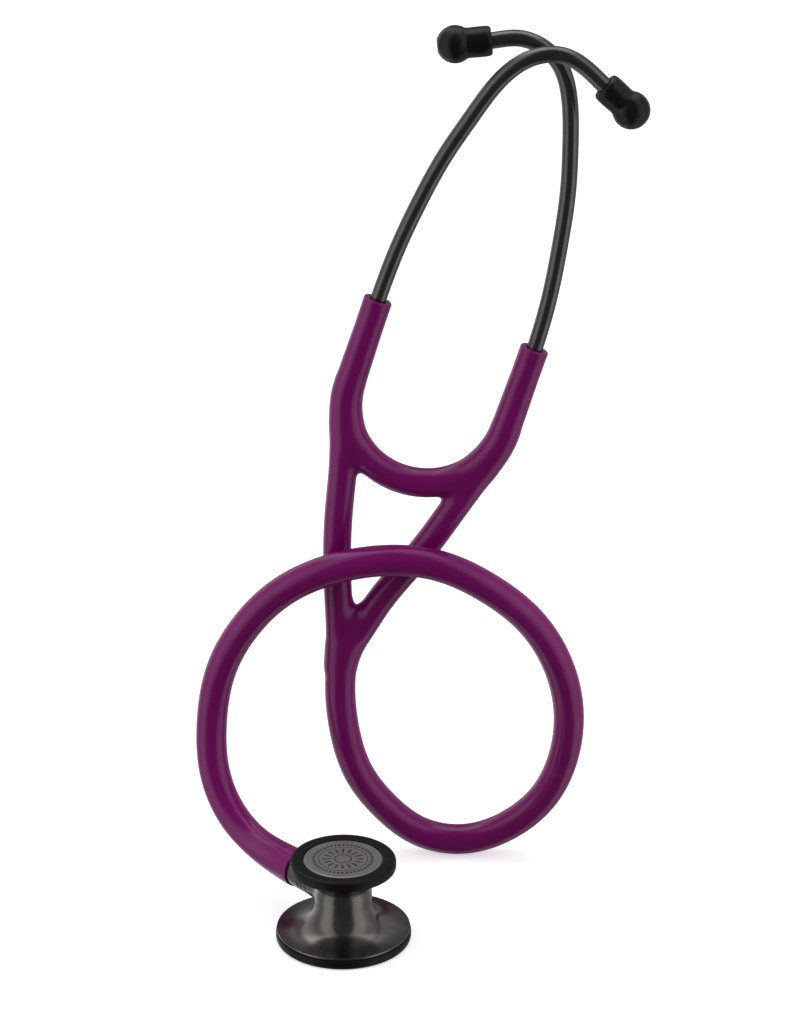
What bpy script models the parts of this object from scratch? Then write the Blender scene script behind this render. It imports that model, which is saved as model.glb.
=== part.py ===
"""A double-sided stethoscope standing on its large diaphragm side.

Metres, +Z up, the floor at z = 0. The headset stands in a plane parallel to XZ and leans to +X.
The left arm crosses in front of the right arm, and the main tube lies in one loop in front of the yoke.
"""

import math

import bmesh
import bpy
import numpy as np
from mathutils import Matrix, Vector

# Places of the two ends of the main tube.
CHEST_AXIS = Vector((-0.0382, -0.0229, 0.0))
LEG_MERGE = Vector((-0.0389, 0.0321, 0.0809))
HEADSET_LEAN = math.radians(18.1)
STEM_BEARING = math.radians(131.3)

# Clearances.
GAP = 0.0003
CLOSE_GAP = 0.00015

# Moulded tubing.
TUBE_R = 0.0053
TUBE_END_R = 0.00625
TUBE_END_LENGTH = 0.026
LEG_R = 0.0048
LEG_SPACING = 0.0544
LEG_BEND_UP = 0.0933
HINGE_UP = 0.101
KNUCKLE_GAP = 0.0006
SLEEVE_LENGTH = 0.0225
STUB_LENGTH = 0.012
LUMEN_R = 0.0013
LUMEN_OFFSET = 0.0017
STUB_LUMEN_OFFSET = 0.0022
END_LUMEN_R = 0.0016

# Leaf spring in the U bridge.
SPRING_THICKNESS = 0.0007
SPRING_WIDTH = 0.0034
SPRING_INSET = 0.0019
SPRING_END_DROP = 0.001

# Ear tubes and eartips.
EAR_TUBE_R = 0.00255
EAR_TUBE_BORE_R = 0.00175
EAR_TUBE_GRIP = 0.017
CONNECTOR_BORE_R = 0.0009
CONNECTOR_HEAD_LENGTH = 0.003
CONNECTOR_SPIGOT_LENGTH = 0.0045
CONNECTOR_RIDGE = 0.0004
EARTIP_R = 0.00595
EARTIP_COLLAR_R = 0.00495
EARTIP_COLLAR_LENGTH = 0.0118
EARTIP_HOLE_R = 0.0013
EARTIP_FLOOR = 0.0012
EARTIP_WAIST = 0.0003
EARTIP_MOUTH_ROUND = 0.0006

# Chestpiece.
LARGE_RIM_R = 0.02275
SMALL_RIM_R = 0.01775
CHEST_HEIGHT = 0.0296
NECK_R = 0.0096
RIM_WALL = 0.00105
FLANGE_INSET = 0.00035
FLANGE_EDGE = 0.0007
SEAT_WIDTH = 0.0022
CUP_EDGE_WIDTH = 0.0031
RIM_HEIGHT = 0.0032
SMALL_RIM_HEIGHT = 0.0028
LIP_THICKNESS = 0.0009
LARGE_LIP_WIDTH = 0.00305
SMALL_LIP_WIDTH = 0.00435
DIAPHRAGM_THICKNESS = 0.0005
DIAPHRAGM_EDGE = 0.0004
DIAPHRAGM_RECESS = 0.00025
DIAPHRAGM_TRAVEL = 0.0003
CUP_DEPTH = 0.0030
CUP_EDGE_DEPTH = 0.0012
PORT_R = 0.0015

# Stem on which the chestpiece turns; distances run out from the chestpiece axis.
STEM_HEIGHT = 0.016
STEM_R = 0.0043
STEM_BORE_R = 0.0013
STEM_INNER_END = -0.005
BOSS_R = 0.0059
BOSS_END = 0.013
COLLAR_R = 0.00575
COLLAR_LENGTH = 0.0096
BARB_R = 0.0026
BARB_RIDGE = 0.0004
BARB_LENGTH = 0.0082
O_RING_PLACE = 0.0096
O_RING_R = 0.00045
CLIP_PLACE = -0.0036
CLIP_THICKNESS = 0.0007
CLIP_R = 0.0052
DETENT_PLACE = 0.005
DETENT_BALL_R = 0.0008
DETENT_WIRE_R = 0.0001
DETENT_TURNS = 1.5

# Route of the main tube's centre line, from below the merge of the legs to before the stem.
TUBE_ROUTE = [
    (-0.0395, 0.0320, 0.0685),
    (-0.0380, 0.0325, 0.0500),
    (-0.0340, 0.0340, 0.0325),
    (-0.0250, 0.0360, 0.0180),
    (-0.0120, 0.0370, 0.0082),
    (0.0040, 0.0370, 0.00535),
    (0.0195, 0.0365, 0.0097),
    (0.0320, 0.0355, 0.0205),
    (0.0390, 0.0335, 0.0375),
    (0.0400, 0.0315, 0.0570),
    (0.0350, 0.0290, 0.0770),
    (0.0250, 0.0260, 0.0945),
    (0.0105, 0.0225, 0.1080),
    (-0.0065, 0.0205, 0.1170),
    (-0.0250, 0.0200, 0.1190),
    (-0.0430, 0.0210, 0.1145),
    (-0.0590, 0.0240, 0.1045),
    (-0.0715, 0.0270, 0.0900),
    (-0.0805, 0.0295, 0.0730),
    (-0.0845, 0.0285, 0.0545),
    (-0.0835, 0.0240, 0.0380),
    (-0.0770, 0.0165, 0.0250),
    (-0.0660, 0.0070, 0.0175),
]
TUBE_POINT_SPACING = 0.0115
SQUARE_END = 0.0006

# Right ear tube's centre line above the leg end: across, up and back from the merge of the legs.
EAR_TUBE_ROUTE = [
    (0.0266, 0.1420, 0.0006),
    (0.0246, 0.1600, 0.0018),
    (0.0212, 0.1770, 0.0032),
    (0.0169, 0.1915, 0.0045),
    (0.0112, 0.2060, 0.0054),
    (0.0048, 0.2155, 0.0059),
    (-0.0034, 0.2202, 0.0063),
    (-0.0115, 0.2192, 0.0067),
    (-0.0185, 0.2157, 0.0070),
]
EARTIP_CENTRE = (-0.0296, 0.2102, 0.0070)
EAR_TUBE_END_BACK = 0.0049

# Left and right legs' centre line from the merge upwards: across and up.
LEG_ROUTE = [
    (0.0005, -0.0040),
    (0.0012, 0.0040),
    (0.0066, 0.0210),
    (0.0142, 0.0430),
    (0.0204, 0.0640),
    (0.0260, 0.0840),
]

# The bell's flare on each side of its straight neck: shares of the flange's width and of its height.
LARGE_FLARE = [
    (0.00, 0.44),
    (0.02, 0.60),
    (0.08, 0.70),
    (0.20, 0.80),
    (0.42, 0.88),
    (0.70, 0.94),
]
SMALL_FLARE = [
    (0.50, 0.87),
    (0.16, 0.64),
    (0.00, 0.30),
]

LEFT = -1.0
RIGHT = 1.0
CHEST_STEPS = 32
STEM_AXIS = Vector((math.cos(STEM_BEARING), math.sin(STEM_BEARING), 0.0))
DEPTH_AXIS = Vector((0.0, 1.0, 0.0))
HEADSET_UP = Vector((math.sin(HEADSET_LEAN), 0.0, math.cos(HEADSET_LEAN)))
HEADSET_ACROSS = Vector((math.cos(HEADSET_LEAN), 0.0, -math.sin(HEADSET_LEAN)))
STEM_BORE_WALL_R = STEM_R + GAP
COLLAR_START = BOSS_END + GAP
COLLAR_END = COLLAR_START + COLLAR_LENGTH
TUBE_END = COLLAR_END + GAP


def clear_scene() -> None:
    """Removes whatever the start-up file holds."""
    for thing in list(bpy.data.objects):
        bpy.data.objects.remove(thing, do_unlink=True)


def finish(name, colour, roughness, metallic=0.0):
    """A plain Principled material."""
    material = bpy.data.materials.new(name)
    material.use_nodes = True
    shader = material.node_tree.nodes["Principled BSDF"]
    shader.inputs["Base Color"].default_value = (*colour, 1.0)
    shader.inputs["Roughness"].default_value = roughness
    shader.inputs["Metallic"].default_value = metallic
    return material


def add_piece(name, bm, material, frame=None, parent=None):
    """Makes one named object from a bmesh whose points are in frame's own space."""
    bmesh.ops.recalc_face_normals(bm, faces=bm.faces)
    mesh = bpy.data.meshes.new(name)
    bm.to_mesh(mesh)
    bm.free()
    mesh.shade_smooth()
    mesh.set_sharp_from_angle(angle=math.radians(35))
    piece = bpy.data.objects.new(name, mesh)
    if material:
        mesh.materials.append(material)
    bpy.context.scene.collection.objects.link(piece)
    if frame is not None:
        piece.matrix_world = frame
    if parent is not None:
        bpy.context.view_layer.update()
        piece.parent = parent
        piece.matrix_parent_inverse = parent.matrix_world.inverted()
    return piece


def add_pivot(name, place, parent=None):
    """An empty on a joint's axis that carries a moving body's pieces."""
    pivot = bpy.data.objects.new(name, None)
    pivot.empty_display_size = 0.01
    bpy.context.scene.collection.objects.link(pivot)
    pivot.location = place
    bpy.context.view_layer.update()
    if parent is not None:
        pivot.parent = parent
        pivot.matrix_parent_inverse = parent.matrix_world.inverted()
    bpy.context.view_layer.update()
    return pivot


def combine(piece, other, operation):
    """Joins a helper to a piece or cuts it away, and hides the helper."""
    other.hide_render = True
    other.display_type = "WIRE"
    change = piece.modifiers.new(f"{operation.title()} {other.name}", "BOOLEAN")
    change.operation = operation
    change.solver = "EXACT"
    change.object = other
    return piece


def cut(piece, other):
    return combine(piece, other, "DIFFERENCE")


def join(piece, other):
    return combine(piece, other, "UNION")


def frame_along(axis, place):
    """A frame at place whose Z axis is the given direction."""
    turn = Vector(axis).to_track_quat("Z", "Y").to_matrix().to_4x4()
    return Matrix.Translation(place) @ turn


def stem_frame():
    return frame_along(STEM_AXIS, stem_point(0.0))


def stem_point(distance):
    """The point on the stem's axis this far out from the chestpiece's own axis."""
    return CHEST_AXIS + Vector((0.0, 0.0, STEM_HEIGHT)) + STEM_AXIS * distance


def headset_point(across, up, back=0.0):
    return LEG_MERGE + HEADSET_ACROSS * across + HEADSET_UP * up + DEPTH_AXIS * back


def hinge_point(side):
    return headset_point(side * LEG_SPACING / 2, HINGE_UP)


def turned(name, profile, material, steps=CHEST_STEPS, frame=None, parent=None):
    """Turns a closed outline of (radius, height) points about the frame's Z axis."""
    bm = bmesh.new()
    points = [bm.verts.new((radius, 0.0, height)) for radius, height in profile]
    edges = []
    for index, point in enumerate(points):
        following = points[(index + 1) % len(points)]
        if point.co.x > 0.0 or following.co.x > 0.0:
            edges.append(bm.edges.new((point, following)))
    bmesh.ops.spin(
        bm,
        geom=points + edges,
        cent=(0.0, 0.0, 0.0),
        axis=(0.0, 0.0, 1.0),
        angle=math.tau,
        steps=steps,
        use_merge=True,
        use_duplicate=False,
    )
    bmesh.ops.remove_doubles(bm, verts=bm.verts, dist=1e-6)
    return add_piece(name, bm, material, frame, parent)


def arc(centre, radius, start, end, steps):
    """Points on a circle, from one angle to another, in degrees."""
    points = []
    for index in range(steps + 1):
        angle = math.radians(start + (end - start) * index / steps)
        points.append((centre[0] + radius * math.cos(angle), centre[1] + radius * math.sin(angle)))
    return points


def smooth_route(points, spacing):
    """Evenly spaced points on a natural cubic curve through the given points."""
    through = np.array([tuple(point) for point in points])
    spans = np.linalg.norm(np.diff(through, axis=0), axis=1)
    along = np.concatenate([[0.0], np.cumsum(spans)])
    count = len(through)
    matrix = np.eye(count)
    right = np.zeros((count, 3))
    for i in range(1, count - 1):
        matrix[i, i - 1 : i + 2] = spans[i - 1] / 6, (spans[i - 1] + spans[i]) / 3, spans[i] / 6
        right[i] = (through[i + 1] - through[i]) / spans[i] - (through[i] - through[i - 1]) / spans[i - 1]
    bend = np.linalg.solve(matrix, right)
    fine = []
    for i, span in enumerate(spans):
        for share in np.arange(0.0, 1.0, 0.04):
            a, b = (1 - share), share
            curve = ((a**3 - a) * bend[i] + (b**3 - b) * bend[i + 1]) * span**2 / 6
            fine.append(a * through[i] + b * through[i + 1] + curve)
    fine.append(through[-1])
    fine = np.array(fine)
    lengths = np.concatenate([[0.0], np.cumsum(np.linalg.norm(np.diff(fine, axis=0), axis=1))])
    places = np.linspace(0.0, lengths[-1], max(2, round(lengths[-1] / spacing) + 1))
    return [Vector([np.interp(place, lengths, fine[:, axis]) for axis in range(3)]) for place in places]


def route_length(route):
    return sum((after - before).length for before, after in zip(route, route[1:]))


def split_route(route, distance):
    """The two parts of a route on either side of a point this far from its start."""
    walked = 0.0
    for index, (before, after) in enumerate(zip(route, route[1:])):
        step = (after - before).length
        if walked + step >= distance:
            place = before.lerp(after, (distance - walked) / step)
            first = route[: index + 1] + [place]
            second = [place] + route[index + 1 :]
            return first, second
        walked += step
    return route, []


def square_ended(route, finer):
    """The route with a point close to each end, so that its end faces stand square to the finer route."""
    near_start = split_route(finer, SQUARE_END)[0][-1]
    near_end = split_route(finer, route_length(finer) - SQUARE_END)[0][-1]
    return [route[0], near_start, *route[1:-1], near_end, route[-1]]


def along_route(route):
    """A direction and two cross directions at each point, without twist, starting from the depth axis."""
    frames = []
    cross = DEPTH_AXIS.copy()
    for index, point in enumerate(route):
        before = route[max(index - 1, 0)]
        after = route[min(index + 1, len(route) - 1)]
        direction = (after - before).normalized()
        cross = (cross - direction * cross.dot(direction)).normalized()
        frames.append((point, direction.cross(cross), cross))
    return frames


def swept(name, route, outlines, material=None, parent=None):
    """Sweeps closed outlines, one for each point of the route; a second list in a pair is the hollow."""
    bm = bmesh.new()
    layers = []
    for (point, across, cross), outline in zip(along_route(route), outlines):
        loops = []
        for loop in outline:
            loops.append([bm.verts.new(point + across * u + cross * v) for u, v in loop])
        layers.append(loops)
    for before, after in zip(layers, layers[1:]):
        for loop_before, loop_after in zip(before, after):
            for i in range(len(loop_before)):
                j = (i + 1) % len(loop_before)
                bm.faces.new((loop_before[i], loop_before[j], loop_after[j], loop_after[i]))
    for loops in (layers[0], layers[-1]):
        if len(loops) == 1:
            bm.faces.new(loops[0])
            continue
        for i in range(len(loops[0])):
            j = (i + 1) % len(loops[0])
            bm.faces.new((loops[0][i], loops[0][j], loops[1][j], loops[1][i]))
    return add_piece(name, bm, material, parent=parent)


def ring(radius, sides):
    return arc((0.0, 0.0), radius, 0.0, 360.0 * (sides - 1) / sides, sides - 1)


def swept_rod(name, route, radius, sides=12, material=None, parent=None):
    return swept(name, route, [[ring(radius, sides)] for _ in route], material, parent)


def swept_pipe(name, route, outer, inner, sides=12, material=None, parent=None):
    """A pipe whose outer and inner radii are given at each point of the route."""
    outlines = [[ring(o, sides), ring(i, sides)] for o, i in zip(outer, inner)]
    return swept(name, route, outlines, material, parent)


def swept_bar(name, route, thickness, width, material=None, parent=None):
    t, w = thickness / 2, width / 2
    return swept(name, route, [[[(-t, -w), (t, -w), (t, w), (-t, w)]] for _ in route], material, parent)


def rod_between(name, start, end, radius, sides=12):
    return swept_rod(name, [Vector(start), Vector(end)], radius, sides)


def ball(name, centre, radius, material=None, parent=None, segments=20, rings=12):
    bm = bmesh.new()
    bmesh.ops.create_uvsphere(bm, u_segments=segments, v_segments=rings, radius=radius)
    return add_piece(name, bm, material, Matrix.Translation(centre), parent)


def tube_centre_line():
    """The main tube's whole centre line, from the merge of the legs to the stem's collar."""
    ends = [stem_point(TUBE_END + BARB_LENGTH), stem_point(TUBE_END)]
    return smooth_route([LEG_MERGE, *map(Vector, TUBE_ROUTE), *ends], TUBE_POINT_SPACING / 4)


def leg_centre_line(side):
    up_top = [(LEG_SPACING / 2, LEG_BEND_UP + 0.003), (LEG_SPACING / 2, HINGE_UP)]
    points = [headset_point(side * across, up) for across, up in LEG_ROUTE + up_top]
    return smooth_route(points, 0.0085)


def bridge_line(inset, top):
    """The U bridge's line from leg to leg, moved this far towards the inside of the U."""
    radius = LEG_SPACING / 2 - inset
    line = arc((0.0, LEG_BEND_UP), radius, 180.0, 360.0, 14)
    ends = [(-radius, top)] if top > LEG_BEND_UP else []
    points = ends + line + [(-across, up) for across, up in ends]
    return [headset_point(across, up) for across, up in points]


def make_yoke(plum, steel):
    """The Y moulding with its air channels, and the leaf spring that lies in its U bridge."""
    stub, _ = split_route(tube_centre_line(), STUB_LENGTH)
    stub = [LEG_MERGE + HEADSET_UP * 0.003] + square_ended(smooth_route(stub, 0.003), stub)
    yoke = swept_rod("yoke_tubing", stub, TUBE_R, 16, plum)
    join(yoke, swept_rod("left_leg_shape", leg_centre_line(LEFT), LEG_R, 14))
    join(yoke, swept_rod("right_leg_shape", leg_centre_line(RIGHT), LEG_R, 14))
    join(yoke, swept_rod("bridge_shape", bridge_line(0.0, LEG_BEND_UP), LEG_R - CLOSE_GAP, 14))
    for side, word in ((LEFT, "left"), (RIGHT, "right")):
        cut(yoke, ball(f"{word}_knuckle_space", hinge_point(side), LEG_R + KNUCKLE_GAP))
        cut(yoke, swept_rod(f"{word}_air_channel", channel_line(side, stub), LUMEN_R, 8))
    top = HINGE_UP - LEG_R
    channel = bridge_line(SPRING_INSET, HINGE_UP)
    cut(yoke, swept_bar("spring_channel", channel, SPRING_THICKNESS + 2 * GAP, SPRING_WIDTH + 2 * GAP))
    leaf = bridge_line(SPRING_INSET, top - SPRING_END_DROP)
    swept_bar("binaural_spring", leaf, SPRING_THICKNESS, SPRING_WIDTH, steel)
    return yoke


def channel_line(side, stub):
    """The air channel's line in one leg, from past the stub's face up into the knuckle."""
    beside = HEADSET_ACROSS * side * STUB_LUMEN_OFFSET
    face = stub[-1]
    outward = (stub[-1] - stub[-2]).normalized()
    low = [face + outward * 0.002 + beside, face + beside, stub[1] + beside]
    leg = leg_centre_line(side)
    high = [point for point in leg if (point - LEG_MERGE).dot(HEADSET_UP) > 0.03]
    top_place = headset_point(side * (LEG_SPACING / 2 + LUMEN_OFFSET), HINGE_UP)
    return smooth_route(low + high[:-3] + [top_place - HEADSET_UP * 0.011, top_place], 0.008)


def make_main_tube(plum):
    """The free tube as a curve with a round section, and its hollow thickened end."""
    line = tube_centre_line()
    length = route_length(line)
    _, beyond_stub = split_route(line, STUB_LENGTH + GAP)
    free_length = length - TUBE_END_LENGTH - GAP - STUB_LENGTH - GAP
    free, rest = split_route(beyond_stub, free_length)
    free = square_ended(smooth_route(free, TUBE_POINT_SPACING), free)
    curve = bpy.data.curves.new("main_tube", "CURVE")
    curve.dimensions = "3D"
    curve.bevel_depth = TUBE_R
    curve.bevel_resolution = 3
    curve.use_fill_caps = True
    curve.materials.append(plum)
    spline = curve.splines.new("POLY")
    spline.points.add(len(free) - 1)
    for point, place in zip(spline.points, free):
        point.co = (*place, 1.0)
    tube = bpy.data.objects.new("main_tube", curve)
    bpy.context.scene.collection.objects.link(tube)

    _, end = split_route(rest, GAP)
    end = square_ended(smooth_route(end, 0.0033), end)
    end_length = route_length(end)
    outer = []
    inner = []
    walked = 0.0
    for index, point in enumerate(end):
        walked += (point - end[index - 1]).length if index else 0.0
        share = walked / end_length
        outer.append(TUBE_R + (TUBE_END_R - TUBE_R) * share * share * (3 - 2 * share))
        in_grip = end_length - walked < BARB_LENGTH + 0.002
        inner.append(BARB_R + GAP if in_grip else END_LUMEN_R)
    swept_pipe("tube_end_sleeve", end, outer, inner, 12, plum)


def make_arm(side, word, plum, dark_metal, black_rubber, brass):
    """One arm: the leg end on its hinge, the ear tube, its tip connector and its eartip."""
    pivot = add_pivot(f"{word}_arm_pivot", hinge_point(side))
    bore_r = EAR_TUBE_R + GAP
    bore_floor = SLEEVE_LENGTH - EAR_TUBE_GRIP - GAP
    dome = arc((0.0, 0.0), LEG_R, -90.0, 0.0, 6)
    dome[0] = (0.0, -LEG_R)
    top = [(LEG_R, SLEEVE_LENGTH - 0.0005), (LEG_R - 0.0005, SLEEVE_LENGTH), (bore_r, SLEEVE_LENGTH)]
    outline = dome + top + [(bore_r, bore_floor), (0.0, bore_floor)]
    frame = frame_along(HEADSET_UP, hinge_point(side))
    sleeve = turned(f"{word}_leg_sleeve", outline, plum, 18, frame, pivot)
    low = hinge_point(side) + HEADSET_ACROSS * side * LUMEN_OFFSET - HEADSET_UP * (LEG_R + 0.001)
    high = hinge_point(side) + HEADSET_UP * (bore_floor + 0.0015)
    cut(sleeve, rod_between(f"{word}_sleeve_air_channel", low, high, LUMEN_R, 10))

    tip_centre = side_point(side, EARTIP_CENTRE)
    tip_axis = (tip_centre - side_point(side, EAR_TUBE_ROUTE[-1])).normalized()
    start_up = HINGE_UP + bore_floor + GAP
    starts = [(LEG_SPACING / 2, start_up, 0.0), (LEG_SPACING / 2, HINGE_UP + SLEEVE_LENGTH, 0.0)]
    through = [side_point(side, place) for place in starts + EAR_TUBE_ROUTE]
    through.append(tip_centre - tip_axis * EAR_TUBE_END_BACK)
    line = smooth_route(through, 0.006)
    outer = [EAR_TUBE_R] * len(line)
    inner = [EAR_TUBE_BORE_R] * len(line)
    swept_pipe(f"{word}_ear_tube", line, outer, inner, 9, dark_metal, pivot)

    tip_frame = frame_along(tip_axis, tip_centre)
    turned(f"{word}_tip_connector", connector_outline(), brass, 16, tip_frame, pivot)
    tip_pivot = add_pivot(f"{word}_eartip_slide", tip_centre, pivot)
    turned(f"{word}_eartip", eartip_outline(), black_rubber, 18, tip_frame, tip_pivot)


def side_point(side, place):
    """A point of the right arm, or its mirror on the left arm, which lies in front."""
    across, up, back = place
    return headset_point(side * across, up, side * back)


def connector_outline():
    """A barbed head on a spigot that sits in the ear tube's end; heights are from the eartip's centre."""
    start = -EAR_TUBE_END_BACK
    foot = start + GAP
    head_r = EAR_TUBE_R + CONNECTOR_RIDGE
    spigot_r = EAR_TUBE_BORE_R - GAP
    waist_r = EAR_TUBE_R - CONNECTOR_RIDGE / 2
    step = CONNECTOR_HEAD_LENGTH / 4
    outline = [
        (CONNECTOR_BORE_R, start - CONNECTOR_SPIGOT_LENGTH),
        (spigot_r, start - CONNECTOR_SPIGOT_LENGTH),
        (spigot_r, foot),
        (head_r, foot),
        (head_r, foot + step),
        (waist_r, foot + step * 1.3),
        (head_r, foot + step * 2),
        (waist_r, foot + step * 2.3),
        (head_r, foot + step * 3),
        (waist_r, foot + step * 4),
        (CONNECTOR_BORE_R, foot + step * 4),
    ]
    return outline


def eartip_outline():
    """A soft ball with a sound hole and a collar; heights are from the ball's centre."""
    bore_r = EAR_TUBE_R + CONNECTOR_RIDGE + GAP
    mouth = -EARTIP_COLLAR_LENGTH
    hole_angle = math.degrees(math.acos(EARTIP_HOLE_R * 1.3 / EARTIP_R))
    outline = [(EARTIP_HOLE_R, EARTIP_R * 0.93)]
    outline += list(reversed(arc((0.0, 0.0), EARTIP_R, -36.0, hole_angle, 7)))
    outline += [
        (EARTIP_COLLAR_R - EARTIP_WAIST, -EARTIP_R * 0.84),
        (EARTIP_COLLAR_R, mouth + EARTIP_MOUTH_ROUND * 4),
        (EARTIP_COLLAR_R, mouth + EARTIP_MOUTH_ROUND),
        (EARTIP_COLLAR_R - EARTIP_MOUTH_ROUND, mouth),
        (bore_r, mouth),
        (bore_r, -EARTIP_FLOOR),
        (EARTIP_HOLE_R, -EARTIP_FLOOR),
    ]
    return outline


def chest_body_outline():
    """Half the double bell's section, from the small side's cup round the outside to the large side's."""
    large_r = LARGE_RIM_R - RIM_WALL - GAP
    small_r = SMALL_RIM_R - RIM_WALL - GAP
    flange_r = LARGE_RIM_R - FLANGE_INSET
    large_seat = seat_depth()
    small_seat = CHEST_HEIGHT - seat_depth()
    low = RIM_HEIGHT + GAP
    high = CHEST_HEIGHT - SMALL_RIM_HEIGHT - GAP
    outline = [
        (0.0, small_seat - CUP_DEPTH),
        (small_r - CUP_EDGE_WIDTH, small_seat - CUP_EDGE_DEPTH),
        (small_r - SEAT_WIDTH, small_seat),
        (small_r, small_seat),
        (small_r, high),
    ]
    for width, height in SMALL_FLARE:
        radius = NECK_R + (small_r - NECK_R) * width
        outline.append((radius, STEM_HEIGHT + (high - STEM_HEIGHT) * height))
    for width, height in LARGE_FLARE:
        radius = NECK_R + (flange_r - NECK_R) * width
        outline.append((radius, STEM_HEIGHT - (STEM_HEIGHT - low) * height))
    outline += [
        (flange_r, low + FLANGE_EDGE),
        (flange_r, low),
        (large_r, low),
        (large_r, large_seat),
        (large_r - SEAT_WIDTH, large_seat),
        (large_r - CUP_EDGE_WIDTH, large_seat + CUP_EDGE_DEPTH),
        (0.0, large_seat + CUP_DEPTH),
    ]
    return outline


def seat_depth():
    """How far behind a rim's face the bell's edge stops, with room for the diaphragm's travel."""
    return LIP_THICKNESS + GAP + DIAPHRAGM_EDGE + DIAPHRAGM_TRAVEL + GAP


def rim_outline(rim_r, height, lip_width):
    """A rim's section from its outer face: a wall round the bell's edge and a lip over the diaphragm."""
    wall_r = rim_r - RIM_WALL
    lip_r = rim_r - lip_width
    return [
        (lip_r, 0.0002),
        (lip_r + 0.0003, 0.0),
        (rim_r - 0.0009, 0.0),
        (rim_r - 0.0002, 0.0005),
        (rim_r, 0.0013),
        (rim_r, height - 0.0006),
        (rim_r - 0.0004, height),
        (wall_r, height),
        (wall_r, LIP_THICKNESS),
        (lip_r, LIP_THICKNESS),
    ]


def diaphragm_outline(rim_r, lip_width):
    """A stiff disc that stands through the rim's lip, with a thin edge held behind the lip."""
    face_r = rim_r - lip_width - GAP
    edge_r = rim_r - RIM_WALL - GAP
    edge_front = LIP_THICKNESS + GAP
    back = DIAPHRAGM_RECESS + DIAPHRAGM_THICKNESS
    return [
        (0.0, DIAPHRAGM_RECESS),
        (face_r, DIAPHRAGM_RECESS),
        (face_r, edge_front),
        (edge_r, edge_front),
        (edge_r, edge_front + DIAPHRAGM_EDGE),
        (face_r - 0.0006, edge_front + DIAPHRAGM_EDGE),
        (face_r - 0.0006, back),
        (0.0, back),
    ]


def make_chestpiece(steel, black_rubber, grey_disc):
    """The double bell, its two rims and its two diaphragms, on a pivot on the stem's axis."""
    pivot = add_pivot("chestpiece_pivot", stem_point(0.0))
    upright = Matrix.Translation(CHEST_AXIS)
    over = Matrix.Translation(CHEST_AXIS + Vector((0, 0, CHEST_HEIGHT))) @ Matrix.Rotation(math.pi, 4, "X")
    body = turned("chestpiece_body", chest_body_outline(), steel, CHEST_STEPS, upright, pivot)
    join(body, rod_between("stem_boss_shape", stem_point(NECK_R / 2), stem_point(BOSS_END), BOSS_R, 28))
    bore_end = stem_point(STEM_INNER_END - 0.0015)
    cut(body, rod_between("stem_bore", bore_end, stem_point(BOSS_END + 0.002), STEM_BORE_WALL_R, 24))
    clip_half = CLIP_THICKNESS / 2 + GAP * 2
    groove_ends = stem_point(CLIP_PLACE - clip_half), stem_point(CLIP_PLACE + clip_half)
    cut(body, rod_between("clip_groove", *groove_ends, CLIP_R + GAP, 24))
    low = CHEST_AXIS + Vector((0, 0, seat_depth()))
    high = CHEST_AXIS + Vector((0, 0, CHEST_HEIGHT - seat_depth()))
    cut(body, rod_between("sound_port", low, high, PORT_R, 12))
    for word, up in (("upper", 1.0), ("lower", -1.0)):
        dimple = stem_point(DETENT_PLACE) + Vector((0, 0, up * STEM_BORE_WALL_R))
        cut(body, ball(f"{word}_detent_dimple", dimple, DETENT_BALL_R, segments=12, rings=8))
    large = rim_outline(LARGE_RIM_R, RIM_HEIGHT, LARGE_LIP_WIDTH)
    small = rim_outline(SMALL_RIM_R, SMALL_RIM_HEIGHT, SMALL_LIP_WIDTH)
    turned("large_rim", large, black_rubber, CHEST_STEPS, upright, pivot)
    turned("small_rim", small, black_rubber, CHEST_STEPS, over, pivot)
    large = diaphragm_outline(LARGE_RIM_R, LARGE_LIP_WIDTH)
    small = diaphragm_outline(SMALL_RIM_R, SMALL_LIP_WIDTH)
    large_slide = add_pivot("large_diaphragm_slide", CHEST_AXIS, pivot)
    small_slide = add_pivot("small_diaphragm_slide", CHEST_AXIS + Vector((0, 0, CHEST_HEIGHT)), pivot)
    turned("large_diaphragm", large, grey_disc, CHEST_STEPS, upright, large_slide)
    turned("small_diaphragm", small, grey_disc, CHEST_STEPS, over, small_slide)


def stem_outline():
    """The stem's section: a spigot with grooves for the clip and the O-ring, and a barb for the tube."""
    clip_half = CLIP_THICKNESS / 2 + GAP
    ring_half = O_RING_R + GAP
    floor_r = STEM_R - 2 * O_RING_R
    shoulder = COLLAR_END - GAP
    tip = TUBE_END + BARB_LENGTH
    ridge = BARB_LENGTH / 3
    root_r = BARB_R - BARB_RIDGE
    outline = [
        (0.0, STEM_INNER_END),
        (STEM_R, STEM_INNER_END),
        (STEM_R, CLIP_PLACE - clip_half),
        (floor_r, CLIP_PLACE - clip_half),
        (floor_r, CLIP_PLACE + clip_half),
        (STEM_R, CLIP_PLACE + clip_half),
        (STEM_R, O_RING_PLACE - ring_half),
        (floor_r, O_RING_PLACE - ring_half),
        (floor_r, O_RING_PLACE + ring_half),
        (STEM_R, O_RING_PLACE + ring_half),
        (STEM_R, shoulder),
        (root_r, shoulder),
    ]
    for step in range(3):
        outline.append((root_r, tip - ridge * (3 - step) + ridge * 0.2))
        outline.append((BARB_R, tip - ridge * (3 - step) + ridge * 0.35))
    outline += [(root_r, tip), (STEM_BORE_R, tip), (STEM_BORE_R, -PORT_R), (0.0, -PORT_R)]
    return outline


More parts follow.
